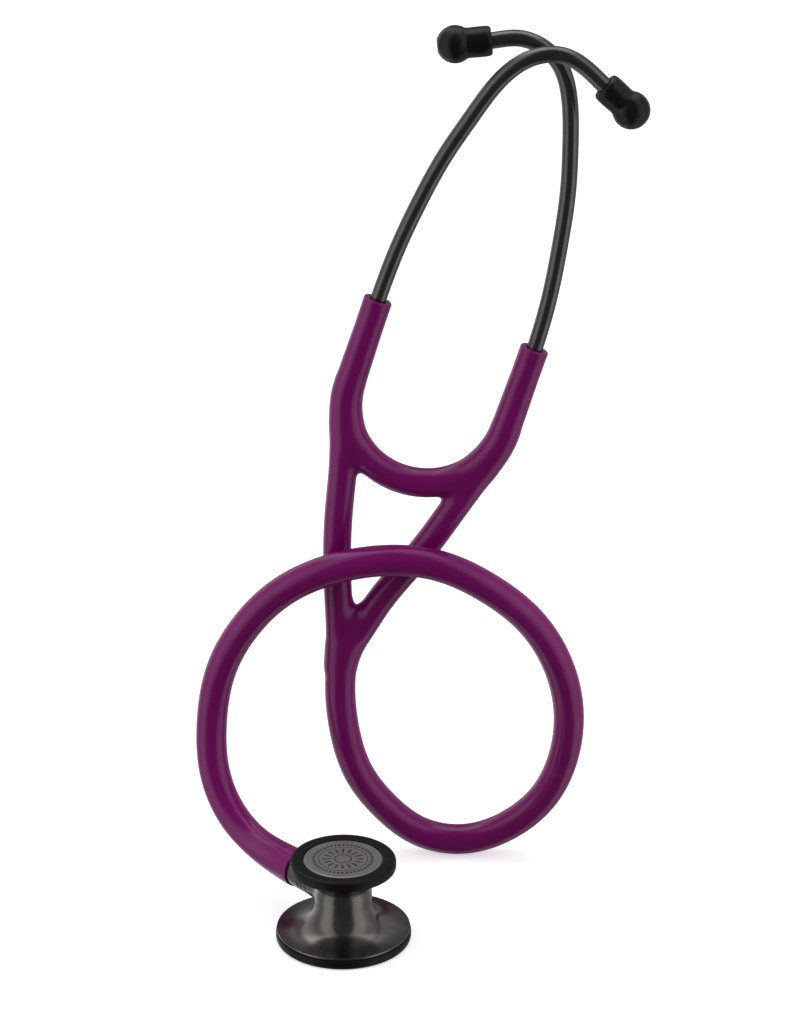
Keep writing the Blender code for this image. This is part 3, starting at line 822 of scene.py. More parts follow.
@dataclass
class MainTube:
    """The single tube from the merge of the legs to the chestpiece's stem, in one loop."""

    stance: Stance
    radius: float = 0.0053
    end_radius: float = 0.00625
    end_length: float = 0.026
    end_round: float = 0.0007
    stub_length: float = 0.012
    collar_end: float = 0.0232
    barb_length: float = 0.0082
    real_length: float = 0.42
    places: Places = (
        (-0.0399, 0.0320, 0.0685),
        (-0.0385, 0.0325, 0.0500),
        (-0.0336, 0.0340, 0.0328),
        (-0.0244, 0.0360, 0.0187),
        (-0.0120, 0.0370, 0.0082),
        (0.0040, 0.0370, 0.00535),
        (0.0190, 0.0365, 0.0109),
        (0.0307, 0.0355, 0.0219),
        (0.0376, 0.0335, 0.0379),
        (0.0394, 0.0315, 0.0570),
        (0.0350, 0.0290, 0.0770),
        (0.0250, 0.0260, 0.0945),
        (0.0105, 0.0225, 0.1080),
        (-0.0065, 0.0205, 0.1170),
        (-0.0250, 0.0200, 0.1190),
        (-0.0432, 0.0210, 0.1151),
        (-0.0598, 0.0240, 0.1055),
        (-0.0726, 0.0270, 0.0910),
        (-0.0812, 0.0295, 0.0734),
        (-0.0845, 0.0285, 0.0545),
        (-0.0835, 0.0240, 0.0380),
        (-0.0770, 0.0165, 0.0250),
        (-0.0660, 0.0070, 0.0175),
    )

    def centre_line(self) -> Route:
        """The whole centre line, from the merge of the legs to the stem's collar."""
        ends = [self.stance.stem(self.collar_end + self.barb_length), self.stance.stem(self.collar_end)]
        return Route.through([self.stance.leg_merge, *self.places, *ends], 0.0011)

    def radius_at(self, left: float) -> float:
        """The radius at a distance before the stem end, where the tube thickens."""
        share = min(max(1.0 - left / self.end_length, 0.0), 1.0)
        return self.radius + (self.end_radius - self.radius) * share * share * (3 - 2 * share)

    def build(self, vinyl: bpy.types.Material, slot: str) -> bpy.types.Object:
        """Args:
            vinyl: The tubing's material.
            slot: Not used.

        Returns:
            The tube.
        """
        line = self.centre_line()
        free = line.between(self.stub_length, line.length)
        bm = bmesh.new()
        sweep(bm, free, lambda walked: self.radius_at(free.length - walked), 56, end_round=self.end_round)
        tube = dress(make_object("plum_main_tube", bm), vinyl)
        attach(tube, Body.TUBING.value)
        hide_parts("main_tube", "tube_end_sleeve")
        LOG.info("main tube: %.3f m along its centre line", free.length)
        return tube


@dataclass
class Yoke:
    """The moulded Y: a V of two legs, a U bridge between them and the two leg ends."""

    stance: Stance
    main_tube: MainTube
    leg_r: float = 0.0048
    bend_up: float = 0.0933
    knee_up: float = 0.0925
    flex_end_up: float = 0.1135
    plain_up: float = 0.1165
    cuff_round: float = 0.0005
    bore_r: float = 0.0029
    voxel: float = 0.0006
    v_fillet: float = 0.0052
    bridge_fillet: float = 0.0036
    stub_fillet: float = 0.0020
    low_tapers: dict[Side, float] = field(
        default_factory=lambda: {Side.LEFT: 0.0012, Side.RIGHT: 0.0010}
    )
    low_taper_up: float = 0.001
    low_taper_length: float = 0.010
    high_taper: float = 0.0017
    high_taper_up: float = 0.078
    high_taper_length: float = 0.0145
    stub_overrun: float = 0.004
    knee_extra: float = 0.00035
    middle_extra: float = 0.00015
    low_places: dict[Side, Sequence[tuple[float, float]]] = field(
        default_factory=lambda: {
            Side.LEFT: (
                (0.0001, -0.0040),
                (0.0024, 0.0040),
                (0.0085, 0.0210),
                (0.0155, 0.0430),
                (0.0178, 0.0525),
            ),
            Side.RIGHT: (
                (0.0012, -0.0070),
                (0.0016, 0.0004),
                (0.0034, 0.0089),
                (0.0063, 0.0212),
                (0.0142, 0.0430),
            ),
        }
    )
    high_places: Sequence[tuple[float, float]] = (
        (0.0204, 0.0640),
        (0.0259, 0.0835),
        (0.0270, 0.0892),
        (0.0272, 0.0925),
    )

    def leg_line(self, side: Side) -> tuple[np.ndarray, np.ndarray]:
        """A lower leg's points and radii, slimmer where it runs into its neighbours.

        Args:
            side: Which leg it is.

        Returns:
            The points, and the radius at each.
        """
        places = [*self.low_places[side], *self.high_places]
        knots = [self.stance.headset(side.value * across, up) for across, up in places]
        line = Route.through(knots, 0.002)
        ups = (line.points - np.array(self.stance.leg_merge)) @ np.array(self.stance.up)
        low = np.clip((self.low_taper_up - ups) / self.low_taper_length, 0.0, 1.0)
        low *= self.low_tapers[side]
        high = np.clip((ups - self.high_taper_up) / self.high_taper_length, 0.0, 1.0)
        high *= self.high_taper
        return line.points, self.leg_r - low - high

    def bridge_line(self) -> tuple[np.ndarray, np.ndarray]:
        """The line of the upper legs and the U between them.

        Returns:
            The points, and the radius at each.
        """
        half = self.stance.leg_spacing / 2
        ends = [(-half, self.stance.cuff_up), (-half, self.flex_end_up)]
        angles = np.linspace(math.pi, math.tau, 33)
        arc = [(half * math.cos(angle), self.bend_up + half * math.sin(angle)) for angle in angles]
        places = ends + arc
        places += [(-across, up) for across, up in reversed(ends)]
        points = np.array([tuple(self.stance.headset(across, up)) for across, up in places])
        swell = self.knee_extra + np.sin(angles) * (self.knee_extra - self.middle_extra)
        extra = np.concatenate([[0.0, 0.0], swell, [0.0, 0.0]])
        return points, self.leg_r + extra

    def stub_line(self) -> tuple[np.ndarray, np.ndarray]:
        """The start of the main tube, just past the face where the free tube begins.

        Returns:
            The points, and the radius at each.
        """
        reach = self.main_tube.stub_length + self.stub_overrun
        line = self.main_tube.centre_line().between(0.0, reach)
        start = np.array(self.stance.headset(0.0, 0.003))
        points = np.concatenate([[start], line.points])
        return points, np.full(len(points), self.main_tube.radius)

    def moulding(self) -> tuple[bpy.types.Mesh, TubeField]:
        """The whole Y as one even mesh that lies on the field of its joined tubes.

        Returns:
            The mesh and the field.
        """
        legs = [self.leg_line(side) for side in Side]
        tubes = [*legs, self.bridge_line(), self.stub_line()]
        shape = TubeField(tubes, [self.v_fillet, self.bridge_fillet, self.stub_fillet])
        bm = bmesh.new()
        for points, radii in tubes:
            route = Route(points)
            walked = route.walked
            sweep(bm, route, lambda s, w=walked, r=radii: float(np.interp(s, w, r)), 24)
        rough = make_object("yoke_rough", bm)
        remesh = rough.modifiers.new("even", "REMESH")
        remesh.mode = "VOXEL"
        remesh.voxel_size = self.voxel
        graph = bpy.context.evaluated_depsgraph_get()
        mesh = bpy.data.meshes.new_from_object(rough.evaluated_get(graph))
        bpy.data.objects.remove(rough)
        bm = bmesh.new()
        bm.from_mesh(mesh)
        every_axis = {f"use_axis_{axis}": True for axis in "xyz"}
        for _ in range(4):
            bmesh.ops.smooth_vert(bm, verts=bm.verts, factor=0.5, **every_axis)
            settled = shape.settle(np.array([vert.co for vert in bm.verts], float), 2)
            for vert, place in zip(bm.verts, settled):
                vert.co = place
        bm.to_mesh(mesh)
        bm.free()
        return mesh, shape

    def trimmed(
        self,
        mesh: bpy.types.Mesh,
        cuts: Sequence[tuple[Vector, Vector]],
    ) -> tuple[bmesh.types.BMesh, list]:
        """A copy of the moulding cut by planes and closed at each of them.

        Args:
            mesh: The whole moulding.
            cuts: A point and a direction for each plane; what lies ahead of it goes.

        Returns:
            The bmesh, and the edges of each cut.
        """
        bm = bmesh.new()
        bm.from_mesh(mesh)
        rims = []
        for place, direction in cuts:
            found = bmesh.ops.bisect_plane(
                bm,
                geom=bm.verts[:] + bm.edges[:] + bm.faces[:],
                dist=1e-7,
                plane_co=place,
                plane_no=direction,
                clear_outer=True,
            )
            cut = found["geom_cut"]
            rims.append([item for item in cut if isinstance(item, bmesh.types.BMEdge)])
        return bm, rims

    def shade(self, piece: bpy.types.Object, shape: TubeField, top: float) -> None:
        """Sets exact normals on the moulded skin, so that its parts meet without a line.

        Args:
            piece: The piece to shade.
            shape: The field that the skin lies on.
            top: How far up the skin follows the field.
        """
        mesh = piece.data
        normals = np.array([corner.vector for corner in mesh.corner_normals])
        places = np.array([vert.co for vert in mesh.vertices], float)
        exact = shape.normal(places)
        ups = (places - np.array(self.stance.leg_merge)) @ np.array(self.stance.up)
        on_skin = (np.abs(shape.value(places)) < 2e-5) & (ups < top)
        for face in mesh.polygons:
            if len(face.vertices) > 8:
                continue
            for corner in face.loop_indices:
                vertex = mesh.loops[corner].vertex_index
                if on_skin[vertex]:
                    normals[corner] = exact[vertex]
        mesh.normals_split_custom_set([tuple(normal) for normal in normals])

    def cuff(self, bm: bmesh.types.BMesh, rim: list, side: Side) -> None:
        """Runs a leg end's rim up to its cuff, over the soft edge and into the bore.

        Args:
            bm: The leg end's mesh.
            rim: The open rim at the top.
            side: Which leg it is.
        """
        base = self.stance.headset(side.value * self.stance.leg_spacing / 2, 0.0)
        up = self.stance.up
        rings = [(self.plain_up + 0.0035, self.leg_r)]
        for k in range(6):
            angle = math.pi / 2 * k / 5
            rings.append(
                (
                    self.stance.cuff_up - self.cuff_round * (1 - math.sin(angle)),
                    self.leg_r - self.cuff_round * (1 - math.cos(angle)),
                )
            )
        mouth = self.stance.cuff_up
        rings += [(mouth, self.bore_r + 0.0003), (mouth - 0.0003, self.bore_r), (mouth - 0.004, self.bore_r)]
        edges = rim
        for rise, radius in rings:
            made = bmesh.ops.extrude_edge_only(bm, edges=edges)["geom"]
            new = {item for item in made if isinstance(item, bmesh.types.BMVert)}
            edges = [e for e in made if isinstance(e, bmesh.types.BMEdge) and set(e.verts) <= new]
            for vert in new:
                outward = vert.co - base
                outward -= up * outward.dot(up)
                vert.co = base + up * rise + outward.normalized() * radius
        bmesh.ops.edgeloop_fill(bm, edges=edges)

    def build(self, vinyl: bpy.types.Material, slot: str) -> list[bpy.types.Object]:
        """Makes the fixed Y and the two leg ends.

        Args:
            vinyl: The tubing's material.
            slot: Not used.

        Returns:
            The three pieces.
        """
        mesh, shape = self.moulding()
        knee = self.stance.headset(0.0, self.knee_up)
        line = self.main_tube.centre_line()
        stub = self.main_tube.stub_length
        stub_end, before = line.at(np.array([stub, stub - 0.0005]))
        stub_cut = (Vector(stub_end), Vector(stub_end - before))
        bm, rims = self.trimmed(mesh, [(knee, self.stance.up), stub_cut])
        left_rim = [e for e in rims[0] if (e.verts[0].co - knee).dot(self.stance.across) < 0]
        right_rim = [e for e in rims[0] if e not in left_rim]
        for rim in (left_rim, right_rim, [e for e in rims[1] if e.is_valid]):
            bmesh.ops.edgeloop_fill(bm, edges=rim)
        pieces = [dress(make_object("plum_yoke", bm), vinyl)]
        self.shade(pieces[0], shape, 1.0)
        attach(pieces[0], Body.TUBING.value)
        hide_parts("yoke_tubing")
        for side in Side:
            outward = self.stance.across * side.value
            plain = self.stance.headset(0.0, self.plain_up)
            cuts = [(knee, -outward), (plain, self.stance.up), (knee, -self.stance.up)]
            bm, rims = self.trimmed(mesh, cuts)
            bmesh.ops.edgeloop_fill(bm, edges=rims[2])
            self.cuff(bm, rims[1], side)
            piece = dress(make_object(f"plum_{side.word}_leg", bm), vinyl)
            self.shade(piece, shape, self.plain_up + 1e-4)
            start = self.stance.headset(side.value * self.stance.leg_spacing / 2, self.knee_up)
            end = self.stance.headset(side.value * self.stance.leg_spacing / 2, self.flex_end_up)
            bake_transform(piece)
            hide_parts(f"{side.word}_leg_sleeve")
            pieces.append(piece)
        bpy.data.meshes.remove(mesh)
        LOG.info("yoke: %s faces in three pieces", sum(len(piece.data.polygons) for piece in pieces))
        return pieces


@dataclass
class EarArm:
    """One ear tube with its soft tip."""

    stance: Stance
    side: Side
    tube_r: float = 0.0027
    grip_up: float = 0.1068
    tube_end_back: float = 0.0049
    ball_r: float = 0.0061
    waist_r: float = 0.0048
    collar_r: float = 0.00495
    collar_length: float = 0.0118
    hole_r: float = 0.0013
    bends: dict[Side, Places] = field(
        default_factory=lambda: {
            Side.LEFT: (
                (0.0266, 0.1420, 0.0006),
                (0.0247, 0.1600, 0.0018),
                (0.0218, 0.1772, 0.0032),
                (0.0179, 0.1919, 0.0045),
                (0.0128, 0.2069, 0.0054),
                (0.0055, 0.2163, 0.0059),
                (-0.0035, 0.2198, 0.0063),
                (-0.0113, 0.2183, 0.0067),
                (-0.0183, 0.2151, 0.0070),
            ),
            Side.RIGHT: (
                (0.0261, 0.1420, 0.0006),
                (0.0236, 0.1600, 0.0018),
                (0.0204, 0.1768, 0.0032),
                (0.0162, 0.1913, 0.0045),
                (0.0107, 0.2058, 0.0054),
                (0.0042, 0.2147, 0.0059),
                (-0.0037, 0.2184, 0.0063),
                (-0.0112, 0.2182, 0.0067),
                (-0.0183, 0.2150, 0.0070),
            ),
        }
    )
    tip_place: tuple[float, float, float] = (-0.0294, 0.2101, 0.0070)

    @property
    def places(self) -> Places:
        """The bends of this side's tube above its cuff."""
        return self.bends[self.side]

    @property
    def tip_centre(self) -> Vector:
        """The middle of the tip's ball."""
        return self.stance.mirrored(self.side, self.tip_place)

    @property
    def tip_axis(self) -> Vector:
        """The direction in which the tip points."""
        return (self.tip_centre - self.stance.mirrored(self.side, self.places[-1])).normalized()

    def build_tube(self, graphite: bpy.types.Material) -> bpy.types.Object:
        """Sweeps the ear tube from inside the cuff to inside the tip.

        Args:
            graphite: The tube's material.

        Returns:
            The tube.
        """
        half = self.stance.leg_spacing / 2
        starts = [(half, self.grip_up, 0.0), (half, self.stance.cuff_up, 0.0)]
        through = [self.stance.mirrored(self.side, place) for place in [*starts, *self.places]]
        through.append(self.tip_centre - self.tip_axis * self.tube_end_back)
        route = Route.through(through, 0.0012)
        bm = bmesh.new()
        sweep(bm, route, lambda walked: self.tube_r, 36, 0.0003, 0.0003)
        tube = dress(make_object(f"graphite_{self.side.word}_ear_tube", bm), graphite)
        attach(tube, self.side.arm)
        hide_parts(f"{self.side.word}_ear_tube")
        return tube

    def tip_outline(self) -> Outline:
        """Half the section of the soft tip, from its sound hole round to the collar's mouth.

        Returns:
            The outline, about the middle of the ball.
        """
        outline = [(self.hole_r, -0.001), (self.hole_r, self.ball_r * 0.90)]
        first = math.acos(self.hole_r * 1.5 / self.ball_r)
        last = math.radians(-30.0)
        for k in range(25):
            angle = first + (last - first) * k / 24
            outline.append((self.ball_r * math.cos(angle), self.ball_r * math.sin(angle)))
        mouth = -self.collar_length
        bore_r = self.tube_r + 0.0002
        outline += soften(
            [
                (outline[-1][0], outline[-1][1], 0.0),
                (self.waist_r, -self.ball_r * 0.64, 0.0016),
                (self.collar_r, mouth * 0.68, 0.0020),
                (self.collar_r - 0.0001, mouth, 0.0019),
                (bore_r, mouth, 0.0004),
                (bore_r, -self.tube_end_back, 0.0),
            ]
        )[1:]
        outline.append((self.hole_r, -self.tube_end_back))
        return outline

    def build_tip(self, rubber: bpy.types.Material) -> bpy.types.Object:
        """Turns the soft tip.

        Args:
            rubber: The tip's material.

        Returns:
            The tip.
        """
        place = place_along(self.tip_axis, self.tip_centre)
        tip = turn(f"soft_{self.side.word}_eartip", self.tip_outline(), place, 64)
        dress(tip, rubber)
        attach(tip, self.side.tip)
        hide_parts(f"{self.side.word}_eartip")
        return tip

    def build(self, graphite: bpy.types.Material, rubber: bpy.types.Material) -> list[bpy.types.Object]:
        """Makes the ear tube and the soft tip.

        Args:
            graphite: The ear tube's material.
            rubber: The tip's material.

        Returns:
            Both pieces.
        """
        pieces = [self.build_tube(graphite), self.build_tip(rubber)]
        LOG.info("%s ear tube and tip", self.side.word)
        return pieces


@dataclass
class Chestpiece:
    """The double bell, its rims and diaphragms, and the collar of its stem."""

    stance: Stance
    large_rim_r: float = 0.02275
    small_rim_r: float = 0.01775
    height: float = 0.0296
    neck_r: float = 0.0096
    rim_wall: float = 0.00105
    rim_height: float = 0.0032
    small_rim_height: float = 0.0034
    lip: float = 0.0009
    large_lip_width: float = 0.00305
    small_lip_width: float = 0.00435
    gap: float = 0.0003
    recess: float = 0.00025
    disc_thickness: float = 0.0005
    flange_inset: float = 0.00035
    flange_edge: float = 0.0007
    boss_r: float = 0.0059
    boss_end: float = 0.013
    boss_root: float = 0.0016
    collar_r: float = 0.00575
    collar_start: float = 0.0133
    collar_end: float = 0.0229
    collar_bore_r: float = 0.0046
    groove_places: Sequence[float] = (0.0022, 0.0040)
    groove_width: float = 0.0006
    groove_depth: float = 0.0003
    groove_slope: float = 0.00015

    @property
    def upright(self) -> Matrix:
        """The chestpiece's own place, with its large side down."""
        return Matrix.Translation(self.stance.chest_axis)

    @property
    def over(self) -> Matrix:
        """The small side's place, measured down from its face."""
        top = self.stance.chest_axis + Vector((0.0, 0.0, self.height))
        return Matrix.Translation(top) @ Matrix.Rotation(math.pi, 4, "X")

    @property
    def low(self) -> float:
        """The height of the large flange's under face."""
        return self.rim_height + self.gap

    @property
    def high(self) -> float:
        """The height of the small flange's top face."""
        return self.height - self.small_rim_height - self.gap

    def flare(self) -> np.ndarray:
        """The bell's outer line from the small flange down to the large one, as radius and height.

        Returns:
            Radius and height of each point.
        """
        top_wide = self.small_rim_r - self.rim_wall - self.gap - self.neck_r
        wide = self.large_rim_r - self.flange_inset - self.neck_r
        middle = self.stance.stem_height
        upper = ((0.96, 1.0), (0.50, 0.87), (0.16, 0.64), (0.0, 0.30), (0.0, 0.0))
        lower = (
            (0.0, 0.22),
            (0.03, 0.40),
            (0.09, 0.545),
            (0.19, 0.67),
            (0.36, 0.79),
            (0.64, 0.90),
            (0.975, 0.95),
        )
        places = [(self.neck_r + top_wide * w, middle + (self.high - middle) * h) for w, h in upper]
        places += [(self.neck_r + wide * w, middle - (middle - self.low) * h) for w, h in lower]
        return Route.through([(r, 0.0, z) for r, z in places], 0.00035).points[:, [0, 2]]

    def radius_at(self, height: float) -> float:
        """The bell's outer radius at a height."""
        line = self.flare()[::-1]
        return float(np.interp(height, line[:, 1], line[:, 0]))

    def build_bell(self, steel: bpy.types.Material) -> bpy.types.Object:
        """Turns the bell with its flanges.

        Args:
            steel: The bell's material.

        Returns:
            The bell.
        """
        large_r = self.large_rim_r - self.rim_wall - self.gap
        small_r = self.small_rim_r - self.rim_wall - self.gap
        seat = self.lip + 0.0013
        ledge = self.height - seat
        outline = [(0.0, ledge - 0.003), (small_r - 0.0031, ledge - 0.0012)]
        outline += [(small_r - 0.0022, ledge), (small_r, ledge)]
        top = [(small_r, ledge, 0.0), (small_r, self.high, 0.0004), (small_r - 0.001, self.high, 0.0)]
        outline += soften(top)[1:-1]
        outline += [(float(r), float(z)) for r, z in self.flare()]
        edge = self.large_rim_r - self.flange_inset
        foot = [
            (*outline[-1], 0.0),
            (edge, self.low + self.flange_edge, 0.0003),
            (edge, self.low, 0.00025),
            (large_r, self.low, 0.0),
        ]
        outline += soften(foot)[1:]
        outline += [(large_r, seat), (large_r - 0.0022, seat)]
        outline += [(large_r - 0.0031, seat + 0.0012), (0.0, seat + 0.003)]
        bell = dress(turn("steel_bell", outline, self.upright, 160), steel)
        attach(bell, Body.CHEST_HEAD.value)
        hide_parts("chestpiece_body")
        return bell

    def build_boss(self, steel: bpy.types.Material) -> bpy.types.Object:
        """Makes the stem's socket, which grows out of the bell's neck with a soft root.

        Args:
            steel: The socket's material.

        Returns:
            The socket.
        """
        bm = bmesh.new()
        axis = np.array(self.stance.stem_axis)
        side = np.array([-axis[1], axis[0], 0.0])
        up = np.array([0.0, 0.0, 1.0])
        middle = np.array(self.stance.stem(0.0))
        sides, steps = 72, 14
        layers = [[] for _ in range(steps + 4)]
        for k in range(sides):
            angle = math.tau * k / sides
            out = side * math.cos(angle) + up * math.sin(angle)
            root_r = self.boss_r + self.boss_root * (1.0 - 0.75 * max(0.0, math.sin(angle)))
            height = self.stance.stem_height + root_r * math.sin(angle)
            reach = self.radius_at(height) ** 2 - (root_r * math.cos(angle)) ** 2
            root = min(math.sqrt(max(reach, 0.0)), self.boss_end - 0.0004) - 0.0006
            for step in range(steps + 1):
                share = step / steps
                grown = (1.0 - share) ** 3
                radius = self.boss_r + (root_r - self.boss_r) * grown
                distance = root + (self.boss_end - 0.0005 - root) * share
                layers[step + 1].append(bm.verts.new(middle + axis * distance + out * radius))
            layers[0].append(bm.verts.new(middle + axis * (root - 0.001) + out * (root_r - 0.0002)))
            for layer, back, inset in ((layers[-2], 0.00015, 0.00015), (layers[-1], 0.0, 0.0005)):
                rim = axis * (self.boss_end - back) + out * (self.boss_r - inset)
                layer.append(bm.verts.new(middle + rim))
        for before, after in zip(layers, layers[1:]):
            bridge(bm, before, after)
        bm.faces.new(layers[0])
        bm.faces.new(layers[-1])
        boss = dress(make_object("steel_stem_socket", bm), steel)
        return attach(boss, Body.CHEST_HEAD.value)

    def build_rim(
        self,
        name: str,
        rim_r: float,
        height: float,
        lip_width: float,
        place: Matrix,
    ) -> bpy.types.Object:
        """Turns a rubber rim: a wall round the flange and a lip over the diaphragm.

        Args:
            name: The piece's name.
            rim_r: The rim's outer radius.
            height: How far its wall reaches.
            lip_width: How far its lip reaches in.
            place: Where its face lies.

        Returns:
            The rim.
        """
        wall_r = rim_r - self.rim_wall
        corners = [
            (rim_r - lip_width, 0.0, 0.0007),
            (rim_r, 0.0, 0.0014),
            (rim_r, height, 0.0008),
            (wall_r, height, 0.0),
            (wall_r, self.lip, 0.0),
            (rim_r - lip_width, self.lip, 0.0),
        ]
        return turn(name, soften(corners, 7), place, 160)

    def build_disc(
        self,
        name: str,
        rim_r: float,
        lip_width: float,
        place: Matrix,
    ) -> bpy.types.Object:
        """Turns a diaphragm: a face in the rim's opening with fine steps near its edge.

        Args:
            name: The piece's name.
            rim_r: The rim's outer radius.
            lip_width: How far the rim's lip reaches in.
            place: Where the face lies.

        Returns:
            The disc.
        """
        face_r = rim_r - lip_width - self.gap
        edge_r = rim_r - self.rim_wall - self.gap
        back = self.recess + self.disc_thickness
        front = self.lip + self.gap
        step, skirt_r = self.recess + 0.00008, face_r - 0.0006
        outline = [(0.0, self.recess), (face_r * 0.90, self.recess)]
        outline += [(face_r * 0.905, step), (face_r * 0.925, step)]
        outline += [(face_r * 0.93, self.recess), (face_r - 0.0002, self.recess)]
        outline += [(face_r, self.recess + 0.00015), (face_r, front), (edge_r, front)]
        outline += [(edge_r, front + 0.0004), (skirt_r, front + 0.0004), (skirt_r, back), (0.0, back)]
        return turn(name, outline, place, 128)

    def build_collar(self, graphite: bpy.types.Material) -> bpy.types.Object:
        """Turns the stem's dark collar, with two shallow grooves.

        Args:
            graphite: The collar's material.

        Returns:
            The collar.
        """
        radius, start, end = self.collar_r, self.collar_start, self.collar_end
        floor_r, slope = radius - self.groove_depth, self.groove_slope
        corners = [(self.collar_bore_r, start, 0.0), (radius, start, 0.0004)]
        for near in (start + place for place in self.groove_places):
            far = near + self.groove_width
            corners += [(radius, near, 0.0001), (floor_r, near + slope, 0.0001)]
            corners += [(floor_r, far - slope, 0.0001), (radius, far, 0.0001)]
        corners += [(radius, end, 0.0004), (self.collar_bore_r, end, 0.0)]
        place = place_along(self.stance.stem_axis, self.stance.stem(0.0))
        collar = turn("graphite_stem_collar", soften(corners), place, 96)
        dress(collar, graphite)
        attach(collar, Body.TUBING.value)
        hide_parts("stem_collar")
        return collar

    def build(
        self,
        steel: bpy.types.Material,
        graphite: bpy.types.Material,
        rubber: bpy.types.Material,
        printed: bpy.types.Material,
        plain: bpy.types.Material,
    ) -> list[bpy.types.Object]:
        """Makes every visible piece of the chestpiece.

        Args:
            steel: The bell's material.
            graphite: The collar's material.
            rubber: The rims' material.
            printed: The small diaphragm's material.
            plain: The large diaphragm's material.

        Returns:
            The pieces.
        """
        pieces = [self.build_bell(steel), self.build_boss(steel)]
        large = (self.large_rim_r, self.rim_height, self.large_lip_width, self.upright)
        small = (self.small_rim_r, self.small_rim_height, self.small_lip_width, self.over)
        sides = (("large", large, Body.LARGE_DISC, plain), ("small", small, Body.SMALL_DISC, printed))
        for word, (rim_r, height, lip_width, place), body, face in sides:
            rim = self.build_rim(f"rubber_{word}_rim", rim_r, height, lip_width, place)
            dress(rim, rubber)
            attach(rim, Body.CHEST_HEAD.value)
            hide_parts(f"{word}_rim")
            disc = dress(self.build_disc(f"{word}_face", rim_r, lip_width, place), face)
            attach(disc, body.value)
            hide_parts(f"{word}_diaphragm")
            pieces += [rim, disc]
        pieces.append(self.build_collar(graphite))
        LOG.info("chestpiece: %d pieces", len(pieces))
        return pieces


@dataclass
class InnerParts:
    """The small parts inside the tubing, the stem and the tips, which keep their own shapes."""

    steel: bpy.types.Material
    rubber: bpy.types.Material
    insert: bpy.types.Material

    def dress_all(self) -> None:
        """Gives each inner part its material."""
        steel_names = ("binaural_spring", "chest_stem", "stem_retaining_ring")
        groups = (
            (self.steel, (*steel_names, "detent_ball", "detent_spring")),
            (self.rubber, ("stem_o_ring",)),
            (self.insert, ("left_tip_connector", "right_tip_connector")),
        )
        for material, names in groups:
            for name in names:
                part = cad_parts[name]
                part.data.materials.clear()
                part.data.materials.append(material)
                LOG.info("inner part: %s", name)


